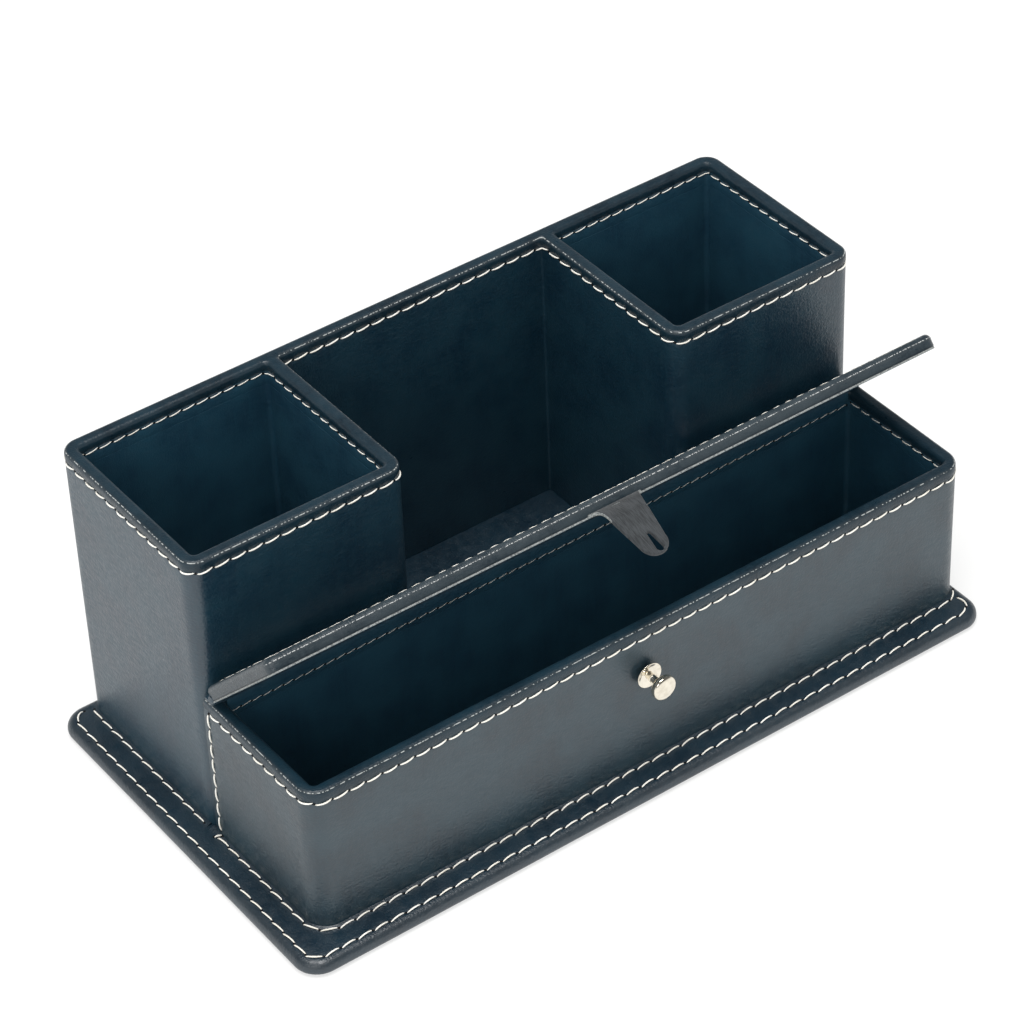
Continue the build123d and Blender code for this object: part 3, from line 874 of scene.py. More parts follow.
# ---------------------------------------------------------------- wrapped walls
@dataclass
class WrappedWalls:
    """Leather wrapped over standing boards: up the outside, over a padded rim and down inside."""

    name: str
    outline: PlanLine
    cavities: list[PlanLine]
    rim: float
    row_drop: float
    replaced: tuple[str, ...]
    leather: Finish = COVER
    outer_round: float = 1.4
    inner_round: float = 1.5
    rim_padding: float = 1.5
    # the rim's finish is the darker copy of the cover: painted shade
    rim_from: int = 15           # ring of the outside where the rim's finish begins
    rim_until: int = 8           # ring of a cavity where it ends

    def outer_stations(self) -> list[Station]:
        """Rings from the foot up over the outer rounding."""
        row = self.rim - self.row_drop
        walls = [Station(0.0, BASE_TOP), Station(0.0, BASE_TOP + 0.8)]
        walls += [Station(0.0, z) for z in np.linspace(BASE_TOP + 4, row - 3.5, 9)]
        radius = self.outer_round
        # the mask peaks half-way round the rounding, where the painted sheen and painted highlight specks
        # fall
        turn = [Station(-radius * (1 - math.cos(a)), self.rim - radius * (1 - math.sin(a)),
                        wear=0.1 + 0.9 * math.sin(2 * a) ** 4)
                for a in np.linspace(0, math.pi / 2, 9)]
        return walls + groove(row, into=-1.0) + turn

    def inner_stations(self) -> list[Station]:
        """Rings of a cavity from the rim's top down to the turned-down edge."""
        row = self.rim - self.row_drop
        radius = self.inner_round
        turn = [Station(radius * (1 - math.cos(a)), self.rim - radius * (1 - math.sin(a)),
                        wear=0.2 * math.sin(2 * a))
                for a in np.linspace(math.pi / 2, 0, 7)]
        bottom = self.rim - TURNOVER
        down = list(reversed(groove(row, into=1.0)))
        return turn + down + [Station(0.0, bottom + 0.4), Station(0.05, bottom)]

    def make(self) -> None:
        """Build the cover as one closed shell."""
        draft = Draft()
        under = self.rim - self.rim_padding
        outside = Sweep(draft, self.outline)
        outer = outside.rings(self.outer_stations())
        draft.stack(outer[:self.rim_from + 1])
        draft.stack(outer[self.rim_from:], slot=2)
        skin = outside.rings([Station(-LEATHER, BASE_TOP), Station(-LEATHER, under)], uneven=False)
        draft.stack([outer[0], *skin])
        tops, soffits = [outer[-1]], [skin[-1]]
        for cavity in self.cavities:
            inside = Sweep(draft, cavity)
            inner = inside.rings(self.inner_stations())
            lining_side = inside.rings([Station(LEATHER, self.rim - TURNOVER), Station(LEATHER, under)],
                                       uneven=False)
            draft.stack(inner[:self.rim_until + 1], slot=2)
            draft.stack([*inner[self.rim_until:], *lining_side], slot=1)
            tops.append(inner[0])
            soffits.append(lining_side[-1])
        draft.cap(*tops, slot=2)
        draft.cap(*soffits)
        # slot 1 takes the lining's lit copy of the cover, slot 2 the rim's darker copy: painted light and
        # painted shade
        piece = draft.build(self.name, [self.leather.material(), LINING.material(), RIM.material()])
        settle(piece, Body.HOUSING, "leather_cover", *self.replaced)


@dataclass
class FootWelt:
    """Leather turned out on the base along a stretch of the walls' foot."""

    name: str
    line: PlanLine
    width: float = 2.5
    cove: float = 0.6
    thickness: float = 0.12

    def section(self) -> list[tuple[float, float]]:
        """Distance out and height above the base, round the closed section."""
        t = self.thickness
        hollow = [(self.cove * (1 - math.sin(a)) + 0.02, t + self.cove * (1 - math.cos(a)))
                  for a in np.linspace(math.pi / 2, 0, 6)]
        flange = [(self.width - 1.0, t * 0.8), (self.width - 0.3, t * 0.35), (self.width, 0.02)]
        return [*reversed(hollow), *flange, (-0.3, 0.02), (-0.3, t + self.cove)]

    def make(self) -> None:
        """Build the strip, closed at both ends and cut off level with the right and rear walls."""
        draft = Draft()
        rings = []
        for out, height in self.section():
            points = self.line.offset(out, BASE_TOP + height)
            points[:, 0] = np.minimum(points[:, 0], HALF_WIDTH + 0.01)
            points[:, 1] = np.minimum(points[:, 1], BACK + 0.01)
            rings.append(draft.ring(points))
        draft.stack([*rings, rings[0]], closed=False)
        draft.face([ring[0] for ring in rings])
        draft.face([ring[-1] for ring in rings])
        piece = draft.build(self.name, [BASE_LEATHER.material()])
        settle(piece, Body.HOUSING, "leather_cover")


# ---------------------------------------------------------------- sub-assemblies
@dataclass
class Base:
    """The base: a wrapped board that shows at the front and left, stitched near its edge there."""

    margin: float = 11.0
    far_margin: float = 2.2
    corner: float = 8.0
    edge_round: float = 2.6
    row_inset: float = 3.3
    underside: float = 0.4
    turnunder: float = 14.0

    def outline(self, inset: float = 0.0) -> PlanLine:
        """The base's footprint, drawn in from its edge."""
        near, far = self.margin - inset, self.far_margin - inset
        radius = self.corner - inset
        return PlanLine.rectangle(-HALF_WIDTH - near, HALF_WIDTH + far, FRONT - near, BACK + far,
                                  radius, radius)

    def make(self) -> None:
        """Build the cover and its row of stitches."""
        line = self.outline()
        top, r = BASE_TOP, self.edge_round
        # the rolled edge made lighter by the mask: rubbing and painted sheen
        rolled = [Station(-r * (1 - math.cos(a)), top - r * (1 - math.sin(a)), wear=0.55 * math.sin(2 * a))
                  for a in np.linspace(0, math.pi / 2, 7)]
        seam_at = -self.row_inset
        seam = [Station(seam_at + d, top - h, 0.0) for d, h in
                ((0.7, 0.03), (0.35, 0.1), (0.0, 0.14), (-0.35, 0.1), (-0.7, 0.03), (-1.4, -0.02),
                 (-5.0, 0.0))]
        low = self.underside
        stations = [Station(-self.turnunder, low), Station(-1.6, low), Station(-0.7, low + 0.25),
                    Station(-0.15, low + 0.8), Station(0.0, low + 1.4, 0.1)] + rolled + seam
        draft = Draft()
        sweep = Sweep(draft, line, unevenness=0.05)
        outer = sweep.rings(stations)
        inner = sweep.rings([
            Station(-self.turnunder, low + LEATHER), Station(-2.4, low + LEATHER),
            Station(-LEATHER, low + 1.6), Station(-LEATHER, top - 2.4), Station(-1.3, top - 1.5),
            Station(-2.4, top - LEATHER), Station(-5.0, top - LEATHER)], uneven=False)
        draft.stack(outer)
        draft.stack([outer[0], *inner])
        draft.cap(outer[-1])
        draft.cap(inner[-1])
        piece = draft.build("base_leather", [BASE_LEATHER.material()])
        settle(piece, Body.HOUSING, "leather_base", "base_cover")
        shown = self.outline(self.row_inset).portion(lambda p: p[0] < -HALF_WIDTH - 1.6 or p[1] < FRONT + 0.4)
        seam_row = Seam("base", Body.HOUSING)
        seam_row.sew(shown.top_track(top - 0.08, 0.0), margin=ROW_MARGIN)
        seam_row.finish()


@dataclass
class RearHousing:
    """Two tall cups and the open bay between them."""

    bay_corner: float = 0.8
    row_drop: float = 3.95

    def outline(self) -> PlanLine:
        """Outside of both cups and the back wall."""
        w, r, b = HALF_WIDTH, CUP_CORNER, self.bay_corner
        rear = BACK - WALL
        return PlanLine.rounded([
            (-w, CUP_FRONT, r), (BAY_LEFT, CUP_FRONT, r), (BAY_LEFT, rear, b), (BAY_RIGHT, rear, b),
            (BAY_RIGHT, CUP_FRONT, r), (w, CUP_FRONT, r), (w, BACK, r), (-w, BACK, r)])

    def cavities(self) -> list[PlanLine]:
        """Inside of each cup."""
        y0, y1 = CUP_FRONT + WALL, BACK - WALL
        spans = ((-HALF_WIDTH + WALL, BAY_LEFT - WALL), (BAY_RIGHT + WALL, HALF_WIDTH - WALL))
        return [PlanLine.rectangle(x0, x1, y0, y1, INNER_CORNER, INNER_CORNER) for x0, x1 in spans]

    def make(self) -> None:
        """Build the cover, its foot and its stitches."""
        outline, cavities = self.outline(), self.cavities()
        WrappedWalls("housing_leather", outline, cavities, CUP_RIM, self.row_drop,
                     ("housing_cover", "middle_bay_lining")).make()
        row = CUP_RIM - self.row_drop
        seam = Seam("housing", Body.HOUSING)
        seam.sew(outline.wall_track(row, -ROW_DEPTH))
        for cavity in cavities:
            seam.sew(cavity.wall_track(row, ROW_DEPTH, Facing.IN), **INNER_ROW)
        foot = PlanLine.rectangle(-HALF_WIDTH, HALF_WIDTH, FRONT, BACK, BOX_CORNER, CUP_CORNER).portion(
            lambda p: p[0] < -HALF_WIDTH + 3.0 and p[1] > CUP_FRONT + 2.4)
        FootWelt("housing_foot_welt", foot).make()
        stitched = foot.portion(lambda p: p[0] < -HALF_WIDTH + 0.6 and p[1] > CUP_FRONT + 3.4)
        seam.sew(stitched.top_track(FOOT_ROW_Z, FOOT_ROW_OUT), margin=ROW_MARGIN)
        seam.finish()


@dataclass
class FrontBox:
    """The low lidded box along the front."""

    row_drop: float = 4.2
    end_row_inset: float = 2.5

    def outline(self) -> PlanLine:
        """Outside of the box; its rear corners are square against the cups."""
        return PlanLine.rectangle(-HALF_WIDTH, HALF_WIDTH, FRONT, CUP_FRONT, BOX_CORNER, 0.0)

    def cavity(self) -> PlanLine:
        """Inside of the box."""
        w = HALF_WIDTH - WALL
        return PlanLine.rectangle(-w, w, FRONT + WALL, CUP_FRONT - WALL, INNER_CORNER, INNER_CORNER)

    def make(self) -> None:
        """Build the cover, its foot and its stitches."""
        outline, cavity = self.outline(), self.cavity()
        WrappedWalls("box_leather", outline, [cavity], BOX_RIM, self.row_drop, ("box_cover",),
                     leather=BOX_COVER).make()
        row = BOX_RIM - self.row_drop
        seam = Seam("box", Body.HOUSING)
        end_y = CUP_FRONT - self.end_row_inset
        seam.sew(outline.portion(lambda p: p[1] < end_y).wall_track(row, -ROW_DEPTH))
        rear = CUP_FRONT - WALL - LEATHER
        shown = cavity.portion(lambda p: p[1] < rear - 0.3)
        seam.sew(shown.wall_track(row, ROW_DEPTH, Facing.IN), **INNER_ROW)
        leaf = np.column_stack([np.linspace(-HALF_WIDTH + WALL + 1.4, HALF_WIDTH - WALL - 1.4, 200),
                                np.full(200, rear), np.full(200, row - 0.6)])
        seam.sew(Track(leaf, np.tile([0.0, -1.0, 0.0], (200, 1)), closed=False), **LEAF_ROW)
        for side in (-1.0, 1.0):
            heights = np.linspace(BASE_TOP + 2.0, row - 0.4, 30)
            upright = np.column_stack([np.full(30, side * HALF_WIDTH), np.full(30, end_y), heights])
            normals = np.tile([side, 0.0, 0.0], (30, 1))
            seam.sew(Track(upright, normals, closed=False))
        foot = PlanLine.rectangle(-HALF_WIDTH, HALF_WIDTH, FRONT, BACK, BOX_CORNER, CUP_CORNER).portion(
            lambda p: p[1] < CUP_FRONT + 2.2 and (p[0] < 0 or p[1] < FRONT + 5.4))
        FootWelt("box_foot_welt", foot).make()
        stitched = foot.portion(lambda p: p[1] < end_y + 0.4 and (p[0] < 0 or p[1] < FRONT + 4.2))
        seam.sew(stitched.top_track(FOOT_ROW_Z, FOOT_ROW_OUT), margin=ROW_MARGIN)
        knot = np.array([[-HALF_WIDTH - 2.1, end_y + 0.7, BASE_TOP + 0.45],
                         [-HALF_WIDTH - 0.4, end_y - 0.8, BASE_TOP + 0.75]])
        seam.sew(Track(knot, np.tile([-0.5, 0.0, 0.86], (2, 1)), closed=False))
        seam.finish()


def bar(name: str, finish: Finish, sections: Iterable[tuple[float, np.ndarray]],
        wear: float = 0.0) -> bpy.types.Object:
    """A solid whose section, rows of y and z, is given at places along x."""
    draft = Draft()
    draft.solid([draft.ring(np.column_stack([np.full(len(section), x), section]), wear)
                 for x, section in sections])
    return draft.build(name, [finish.material()])


@dataclass
class Hinge:
    """Leather saddle over the box's rear rim, with the rolled bead and the web that the lid turns on."""

    bead: float = 1.5
    length: float = 239.2
    leaf_drop: float = 7.0
    web: float = 0.22

    def saddle(self) -> None:
        """Bead and saddle, as long as the lid."""
        turns = np.linspace(math.radians(232), math.radians(-28), 22)
        circle = [(HINGE_Y + self.bead * math.cos(a), HINGE_Z + self.bead * math.sin(a)) for a in turns]
        section = np.array([(-13.25, 57.05), *circle, (-9.0, 57.9), (-8.45, 57.6), (-8.32, 57.0),
                            (-8.32, 56.2), (-9.3, 56.9), (-12.9, 56.9)])
        half = self.length / 2
        left = [(-half, 0.78), (-half + 0.25, 0.93), (-half + 0.7, 1.0)]
        right = [(-x, size) for x, size in reversed(left)]
        sizes = [*left, *((x, 1.0) for x in np.linspace(-half + 4, half - 4, 60)), *right]
        middle = np.mean(section, axis=0)
        # the bead lighter all over through the mask: rubbing and painted sheen
        piece = bar("hinge_bead", TRIM, ((x, middle + (section - middle) * size) for x, size in sizes), 0.25)
        settle(piece, Body.HOUSING, "leather_trim", "hinge_strip")

    def leaf(self) -> None:
        """The flap glued down the inside of the box's rear wall."""
        foot, rim = BOX_RIM - self.leaf_drop, BOX_RIM
        section = np.array([(0.05, foot), (-0.5, foot + 0.05), (-LEATHER, foot + 0.4), (-LEATHER, rim - 1.4),
                            (-0.45, rim - 0.3), (0.4, rim - 0.15), (0.6, rim - 0.8), (0.05, rim - 2.2)])
        section[:, 0] += CUP_FRONT - WALL
        half = HALF_WIDTH - WALL - LEATHER
        # the leaf takes the lining's lit copy, offsetting the shade under the lid
        piece = bar("hinge_leaf", LINING, ((x, section) for x in np.linspace(-half, half, 80)))
        settle(piece, Body.HOUSING, "leather_trim")

    def make_web(self) -> None:
        """The thin web over the bead, built on no body."""
        low = self.bead + 0.02
        high = low + self.web
        turns = np.radians(np.linspace(-8, 80, 14))
        section = np.array([(HINGE_Y + r * math.cos(a), HINGE_Z + r * math.sin(a))
                            for r, way in ((low, 1), (high, -1)) for a in turns[::way]])
        half = self.length / 2 - 0.6
        piece = bar("hinge_web", TRIM, ((x, section) for x in np.linspace(-half, half, 60)))
        settle(piece, None, "leather_trim")
        start, end = ((0.0, (HINGE_Y + high * math.cos(a)) * MM, (HINGE_Z + high * math.sin(a)) * MM)
                      for a in (0.0, turns[-1]))
        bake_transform(piece)
        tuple(start)
        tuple(end)

    def make(self) -> None:
        """Build the hinge's pieces."""
        self.saddle()
        self.leaf()
        self.make_web()


@dataclass
class Lid:
    """Padded lid with a wrapped cover, a lining whose cut edge is pale, partly as a painted highlight, and
    the lug that carries the tab.
    """

    corner: float = 3.0
    lip: float = 0.9
    end_lip: float = 0.2
    edge_round: float = 1.6
    row_inset: float = 3.4
    row_pitch: float = 4.65      # keeps the upright lid's stitches from meeting the cups' where rows cross
    bead_room: float = 1.8
    bead_gap: float = 0.95       # of the plain rear edge from the hinge's axis
    bead_fade: float = 5.0       # how far from the axis the hollow is felt
    lug_root: float = 15.5
    lug_neck: float = 9.5
    lug_length: float = 2.1
    # the edge's finish is the lighter copy of the cover with painted highlight specks
    edge_until: int = 16         # ring of the cover where the edge's finish ends

    def clear_bead(self, draft: Draft) -> None:
        """Hollow the rear edge round the hinge's bead, keeping its points in order."""
        edge, still = HINGE_Y - self.bead_gap, HINGE_Y - self.bead_fade
        for point in draft.points:
            rise = point[2] - HINGE_Z
            if abs(rise) < self.bead_room and point[1] > still:
                clear = min(edge, HINGE_Y - math.sqrt(self.bead_room ** 2 - rise ** 2))
                point[1] = still + (point[1] - still) * (clear - still) / (edge - still)

    def outline(self) -> PlanLine:
        """The lid's wrapped edge, closed."""
        w = HALF_WIDTH - 0.4
        return PlanLine.rectangle(-w, w, FRONT, HINGE_Y - 1.0, self.corner, 0.6)

    def cover(self) -> None:
        """Leather over the board, stitched near its edge."""
        line = self.outline()
        z0, top, r = LID_BOTTOM + LEATHER, LID_TOP, self.edge_round
        ridge = 0.12
        # the mask peaks just below the top of the rolled edge, where painted highlight specks fall
        rolled = [Station(ridge * math.exp(-(a / 0.25) ** 2) - r * (1 - math.cos(a)),
                          top - r * (1 - math.sin(a)), wear=math.exp(-((a - 0.08) / 0.2) ** 2))
                  for a in np.linspace(0, math.pi / 2, 13)]
        at = -self.row_inset
        seam = [Station(at + d, top - h) for d, h in
                ((1.1, 0.08), (0.4, 0.36), (0.0, 0.46), (-0.4, 0.38), (-1.0, 0.2), (-1.6, 0.22), (-2.6, 0.42),
                 (-3.4, 0.52), (-6.0, 0.55))]
        draft = Draft()
        sweep = Sweep(draft, line, unevenness=0.05)
        foot = [Station(-0.12, z0, 0.1), Station(0.0, z0 + 0.35, 0.1), Station(0.0, z0 + 1.2, 0.1)]
        outer = sweep.rings(foot + rolled + seam)
        inner = sweep.rings([Station(-LEATHER, z0), Station(-LEATHER, top - LEATHER),
                             Station(-3.0, top - LEATHER)], uneven=False)
        draft.stack(outer[:self.edge_until + 1], slot=1)
        draft.stack(outer[self.edge_until:])
        draft.stack([outer[0], *inner])
        draft.cap(outer[-1])
        draft.cap(inner[-1])
        self.clear_bead(draft)
        # painted sheen and painted highlight specks at full strength only along the front edge
        draft.wear = [wear if point[1] < FRONT + 2.5 else 0.3 * wear
                      for point, wear in zip(draft.points, draft.wear)]
        piece = draft.build("lid_leather", [COVER.material(), LID_EDGE.material()], move=lid_matrix())
        settle(piece, Body.LID, "leather_cover", "lid_cover")
        row = Seam("lid", Body.LID, lid_matrix())
        row.sew(line.top_track(top - 0.36, at), pitch=self.row_pitch, weight=0.8)
        row.finish()

    def lining_outline(self) -> PlanLine:
        """The lining's edge, with the lug in the middle of its front."""
        w, y0, y1 = HALF_WIDTH - 0.4 + self.end_lip, FRONT - self.lip, HINGE_Y - 1.0
        plain = PlanLine.rectangle(-w, w, y0, y1, self.corner + 2.0, 0.6)
        tip = y0 - self.lug_length
        swing = self.lug_neck + (self.lug_root - self.lug_neck) * 0.3
        left = curve_through((TAB_X - self.lug_root, y0), (TAB_X - swing, y0 - self.lug_length * 0.3),
                             (TAB_X - self.lug_neck, tip), 8)
        right = curve_through((TAB_X + self.lug_neck, tip), (TAB_X + swing, y0 - self.lug_length * 0.3),
                              (TAB_X + self.lug_root, y0), 8)
        neck = np.linspace(TAB_X - self.lug_neck, TAB_X + self.lug_neck, 14)
        across = [np.array([x, tip]) for x in neck[1:-1]]
        points: list[np.ndarray] = []
        placed = False
        for point in plain.points:
            inside = abs(point[1] - y0) < 1e-6 and abs(point[0] - TAB_X) < self.lug_root + 0.4
            if inside and not placed:
                points.extend([*left, *across, *right])
                placed = True
            elif not inside:
                points.append(point)
        line = PlanLine.of(points)
        line.reach = 0.3
        return line

    def lining(self) -> None:
        """Lining glued under the board, its cut edge pale all round, partly as a painted highlight."""
        line = self.lining_outline()
        z0, z1 = LID_BOTTOM, LID_BOTTOM + LEATHER
        draft = Draft()
        under = draft.around(line, (-3.0, z0), (-0.25, z0), (-0.03, z0 + 0.1))
        edge = draft.around(line, (-0.03, z0 + 0.1), (0.0, z0 + 0.3), (-0.02, z1 - 0.12))
        over = draft.around(line, (-0.02, z1 - 0.12), (-0.2, z1), (-3.0, z1))
        edge[0], over[0] = under[-1], edge[-1]
        draft.stack(under)
        draft.stack(edge, slot=1)
        draft.stack(over, slot=2)
        draft.cap(under[0])
        draft.cap(over[-1], slot=2)
        self.clear_bead(draft)
        finishes = [LINING.material(), EDGE.material(), SUEDE.material()]
        piece = draft.build("lid_lining_leather", finishes, sharp=60, move=lid_matrix())
        settle(piece, Body.LID, "leather_lining", "lid_lining")

    def make(self) -> None:
        """Build the lid's pieces."""
        self.cover()
        self.lining()


@dataclass
class ClosureTab:
    """Buttonhole tab that bends at the lining's lug and hangs in front of the box."""

    width: float = 10.0
    length: float = 22.0
    thickness: float = 1.2
    shoulder: float = 4.2
    shoulder_length: float = 7.5
    waist: float = 6.1           # half width where the hollow shoulders end
    overlap: float = 1.3
    bend_radius: float = 3.6
    slit_width: float = 2.6
    slit_length: float = 6.0
    slit_taper: float = 1.8      # how much further the worn buttonhole runs up, narrowing
    slit_offset: float = 0.6
    edge: float = 0.3
    # the pale cut edge is partly a painted highlight
    root_points: int = 8         # points of each hollow curve whose edge is cut pale
    back_points: int = 14        # points of the end that lies under the lid
    slit_lowered: float = 0.6    # how much lower than the stud the slit lies, for the bend

    def outline(self) -> PlanLine:
        """The tab laid flat: x across, y from the crease down to the tip."""
        half, waist = self.width / 2 - 0.4, self.waist
        root = self.width / 2 + self.shoulder
        straight = self.length - half
        knee = waist + (root - waist) * 0.3
        run = self.shoulder_length
        left = curve_through((-root, 0), (-knee, -run * 0.3), (-waist, -run), 9)
        right = curve_through((waist, -run), (knee, -run * 0.3), (root, 0), 9)
        down = [np.array([-waist + (waist - half) * t, -run - (straight - run) * t])
                for t in np.linspace(0, 1, 12)[1:-1]]
        tip = [np.array([half * math.cos(a), -straight + half * math.sin(a)])
               for a in np.linspace(math.pi, 2 * math.pi, 25)]
        up = [np.array([-x, y]) for x, y in reversed(down)]
        back = [np.array([x, self.overlap]) for x in np.linspace(root, -root, self.back_points)]
        return PlanLine.of([*left, *down, *tip, *up, *right, *back])

    def slit(self) -> PlanLine:
        """The buttonhole."""
        reach = self.slit_length / 2 - self.slit_width / 2
        middle = STUD_Z - LID_BOTTOM - self.slit_lowered
        r = self.slit_width / 2
        lower = [np.array([self.slit_offset + r * math.cos(a), middle - reach + r * math.sin(a)])
                 for a in np.linspace(math.pi, 2 * math.pi, 13)]
        narrow, rise = 0.55 * r, reach + self.slit_taper
        upper = [np.array([self.slit_offset + narrow * math.cos(a), middle + rise + narrow * math.sin(a)])
                 for a in np.linspace(0, math.pi, 13)]
        return PlanLine.of([*lower, *upper])

    def bent(self, points: Sequence[np.ndarray]) -> np.ndarray:
        """Flat points carried round the crease."""
        radius, turn = self.bend_radius, math.radians(TAB_BEND)
        arc = radius * turn
        placed = []
        for x, y, z in points:
            angle = min(max(-y / radius, 0.0), turn)
            past = max(-y - arc, 0.0)
            out = radius * math.sin(angle) + past * math.cos(turn) + min(-y, 0.0)
            drop = radius * (1 - math.cos(angle)) + past * math.sin(turn)
            placed.append((TAB_X + x, CREASE_Y - out - z * math.sin(angle),
                           LID_BOTTOM - drop + z * math.cos(angle)))
        return np.array(placed)

    def make(self) -> None:
        """Build the tab, bent round its crease and placed with the open lid, on no body."""
        outline, slit = self.outline(), self.slit()
        e, t = self.edge, self.thickness
        draft = Draft()
        outer = draft.around(outline, (-0.35, 0), (-e, 0), (-0.08, 0.1), (0, e), (0, t - e), (-0.08, t - 0.1),
                             (-e, t), (-0.35, t))
        hole = draft.around(slit, (0.23, 0), (0.2, 0), (0.04, 0.1), (0, e), (0, t - e), (0.04, t - 0.1),
                            (0.2, t), (0.23, t))
        draft.stack(outer)
        left, right = self.root_points, len(outline.points) - 1 - self.back_points - self.root_points
        for level in (2, 3, 4):
            for k in (*range(left), *range(right, len(outline.points))):
                draft.slots[level * len(outline.points) + k] = 1
        draft.stack(hole)
        for ring, gap in ((outer[0], hole[0]), (outer[-1], hole[-1])):
            draft.cap(ring[left:right + 1], gap)
            draft.cap([*ring[right:], *ring[:left + 1]])
        draft.points = list(self.bent(draft.points))
        piece = draft.build("buttonhole_tab", [SUEDE.material(), EDGE.material()], sharp=60,
                            move=lid_matrix())
        settle(piece, None, "leather_trim", "closure_tab")
        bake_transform(piece)


@dataclass
class Stud:
    """Turned closure stud: cupped flange, slim neck and mushroom head."""

    sides: int = 64
    profile: tuple[tuple[float, float], ...] = (
        (0.0, 0.0), (2.4, 0.0), (2.65, 0.12), (3.3, 0.7), (3.9, 1.35), (4.2, 1.62), (4.3, 1.78),
        (4.28, 1.92), (4.16, 2.0), (3.96, 1.97), (3.7, 1.86), (2.9, 1.5), (2.1, 1.3), (1.55, 1.3),
        (1.28, 1.42), (1.2, 1.7), (1.2, 2.8), (1.24, 2.95), (1.42, 3.05), (1.42, 3.4), (1.24, 3.5),
        (1.2, 3.65), (1.2, 5.7), (1.3, 6.05), (1.6, 6.3), (2.4, 6.6), (3.3, 7.05), (3.82, 7.5),
        (4.05, 7.85), (4.1, 8.2), (4.1, 8.9), (4.0, 9.27), (3.75, 9.55), (3.3, 9.78), (2.5, 9.97),
        (1.4, 10.13), (0.0, 10.2))

    def make(self) -> None:
        """Build the stud by turning its profile about its axis."""
        draft = Draft()
        turns = np.linspace(0, 2 * math.pi, self.sides, endpoint=False)
        rings = []
        for radius, out in self.profile[1:-1]:
            rings.append(draft.ring(np.column_stack([
                CLOSURE_X + radius * np.cos(turns), np.full(self.sides, FRONT - out),
                STUD_Z + radius * np.sin(turns)])))
        draft.stack(rings)
        draft.face(rings[0])
        tip = draft.ring(np.array([[CLOSURE_X, FRONT - self.profile[-1][1], STUD_Z]]))[0]
        for k in range(self.sides):
            draft.face((rings[-1][k], rings[-1][(k + 1) % self.sides], tip))
        piece = draft.build("nickel_stud", [NICKEL.material()], sharp=50)
        settle(piece, Body.HOUSING, "nickel", "closure_stud")


# ---------------------------------------------------------------- nodes that stay
def dress_nodes(nodes: dict[str, bpy.types.Object]) -> None:
    """Give every node of the frame its finish."""
    finishes: list[tuple[str, Finish]] = [
        ("felt", FELT), ("liner", CARD), ("washer", ZINC), ("screw", ZINC), ("stud", NICKEL),
        ("board", BOARD), ("floor", BASE_LEATHER), ("lining", LINING), ("hinge", TRIM), ("tab", SUEDE),
        ("cover", COVER)]
    for name, node in nodes.items():
        finish = next(found for word, found in finishes if word in name)
        node.data.materials.clear()
        node.data.materials.append(finish.material())
    LOG.info("dressed %d nodes", len(nodes))


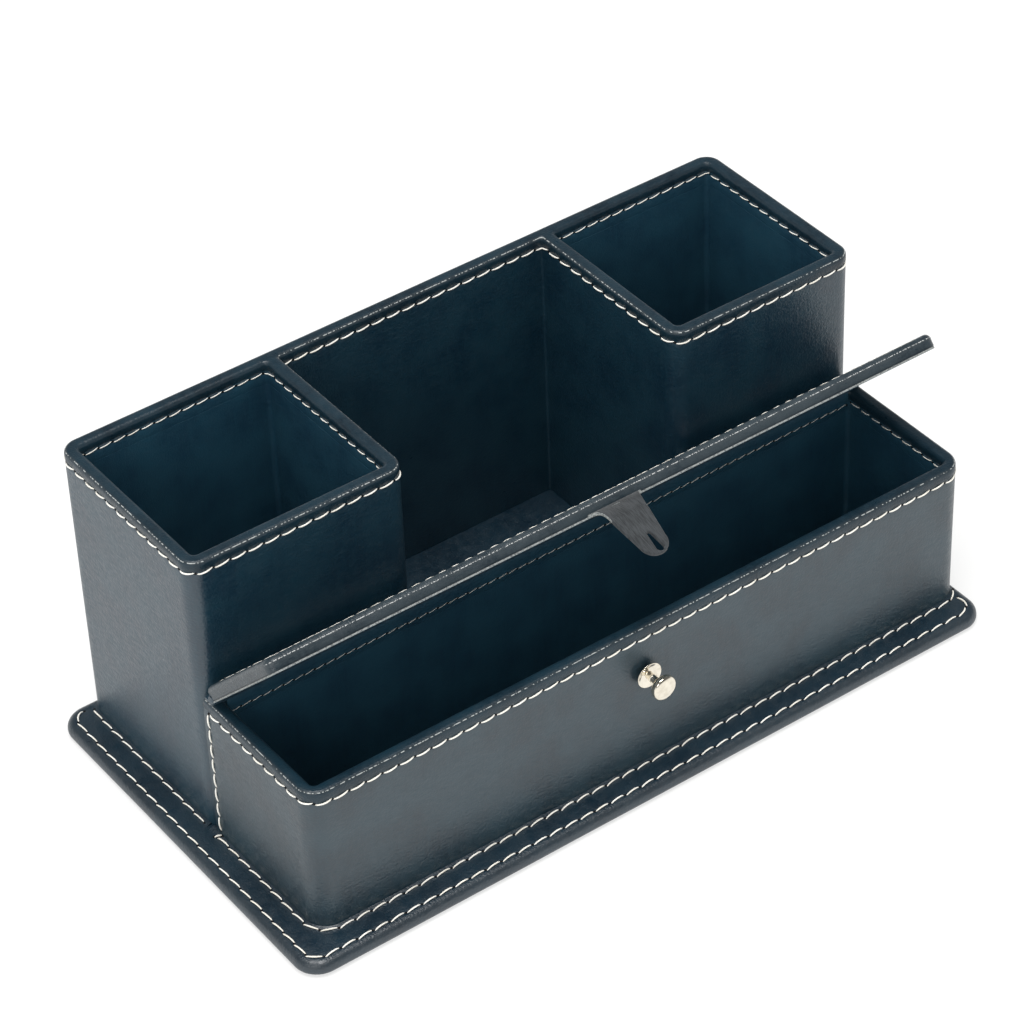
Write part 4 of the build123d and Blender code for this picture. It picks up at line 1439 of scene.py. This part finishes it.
# ---------------------------------------------------------------- studio
@dataclass
class Studio:
    """Pale floor, soft light and the photograph's viewpoint."""

    floor_size: float = 9.0
    lens: float = 136.65
    eye: tuple[float, float, float] = (-515.52, -739.05, 793.71)
    right: tuple[float, float, float] = (0.80629946, -0.59056624, -0.03335715)
    down: tuple[float, float, float] = (-0.39435956, -0.49467501, -0.77445282)
    ahead: tuple[float, float, float] = (0.44086474, 0.6375956, -0.63175164)

    def camera(self) -> None:
        """Place the camera."""
        data = bpy.data.cameras.new("camera")
        data.lens = self.lens
        data.sensor_width = 36.0
        data.clip_start, data.clip_end = 0.05, 50.0
        camera = bpy.data.objects.new("camera", data)
        columns = (Vector(self.right), -Vector(self.down), -Vector(self.ahead))
        turn = Matrix([[c[k] for c in columns] for k in range(3)]).to_4x4()
        camera.matrix_world = Matrix.Translation(Vector(self.eye) * MM) @ turn
        bpy.context.scene.collection.objects.link(camera)
        bpy.context.scene.camera = camera

    @staticmethod
    def shown(graph: Graph) -> Signal:
        """1 for rays from the camera, from a gloss or through glass."""
        path = graph.node("LightPath")
        outs = path.socket.node.outputs
        camera, gloss, through = (Signal(graph, outs[k]) for k in
                                  ("Is Camera Ray", "Is Glossy Ray", "Is Transmission Ray"))
        return graph.math("MAXIMUM", graph.math("MAXIMUM", camera, gloss), through)

    def floor(self) -> None:
        """A pale floor that keeps the object's shadow."""
        draft = Draft()
        s = self.floor_size / MM / 2
        draft.face(draft.ring(np.array([(-s, -s, 0), (s, -s, 0), (s, s, 0), (-s, s, 0)])))
        material = bpy.data.materials.new("pale_floor")
        material.use_nodes = True
        graph = Graph(material.node_tree)
        paper = graph.node("BsdfDiffuse", {}, {"Color": tone("f4f4f2")})
        white = graph.node("Emission", {}, {"Color": (1, 1, 1, 1), "Strength": 1.0})
        surface = graph.node("MixShader", {}, {0: 0.62 * self.shown(graph), 1: paper, 2: white})
        graph.node("OutputMaterial", {}, {"Surface": surface})
        draft.build("floor", [material])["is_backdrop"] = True

    def lamp(self, name: str, place: tuple[float, float, float], size: float, power: float) -> None:
        """An area lamp aimed at the organizer."""
        data = bpy.data.lights.new(name, "AREA")
        data.shape, data.size, data.energy = "DISK", size, power
        lamp = bpy.data.objects.new(name, data)
        lamp.location = place
        lamp.rotation_mode = "QUATERNION"
        lamp.rotation_quaternion = (Vector(place) - Vector((0, 0, 0.05))).to_track_quat("Z", "Y")
        bpy.context.scene.collection.objects.link(lamp)

    def world(self) -> None:
        """White surroundings that light the object at a plain level, with a dim ceiling in its gloss."""
        world = bpy.data.worlds.new("surroundings")
        world.use_nodes = True
        graph = Graph(world.node_tree)
        height = graph.node("SeparateXYZ", {}, {0: graph.node("TexCoord")}, out="Z")
        ceiling = graph.steps(height, 0.06, 0.42) * graph.node("LightPath", out="Is Glossy Ray")
        strength = 0.9 + 0.1 * self.shown(graph) - 0.84 * ceiling
        sky = graph.node("Background", {}, {"Color": (1, 1, 1, 1), "Strength": strength})
        graph.node("OutputWorld", {}, {"Surface": sky})
        bpy.context.scene.world = world

    def make(self) -> None:
        """Set up camera, floor, lamps and world."""
        self.camera()
        self.floor()
        self.lamp("overhead", (-0.15, -0.1, 1.5), 0.9, 14.0)
        self.lamp("window", (-1.3, -0.9, 1.1), 0.9, 6.0)
        self.world()
        bpy.context.scene.view_settings.view_transform = "Standard"


def corners(box: tuple[Vector, Vector]) -> list[list[float]]:
    """A box's lowest and highest corners as plain numbers."""
    return [list(map(float, corner)) for corner in box]


def main() -> None:
    """Load the frame, dress it and set the studio up."""
    logging.basicConfig(level=logging.INFO, format="%(name)s: %(message)s")
    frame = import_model()
    frame_box = corners(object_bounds())
    dress_nodes(frame["nodes"])
    for assembly in (Base(), RearHousing(), FrontBox(), Hinge(), Lid(), ClosureTab(), Stud(), Studio()):
        assembly.make()
        LOG.info("made %s", type(assembly).__name__)
    {"frame": frame_box, "visual": corners(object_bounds())}


if __name__ == "__main__":
    main()
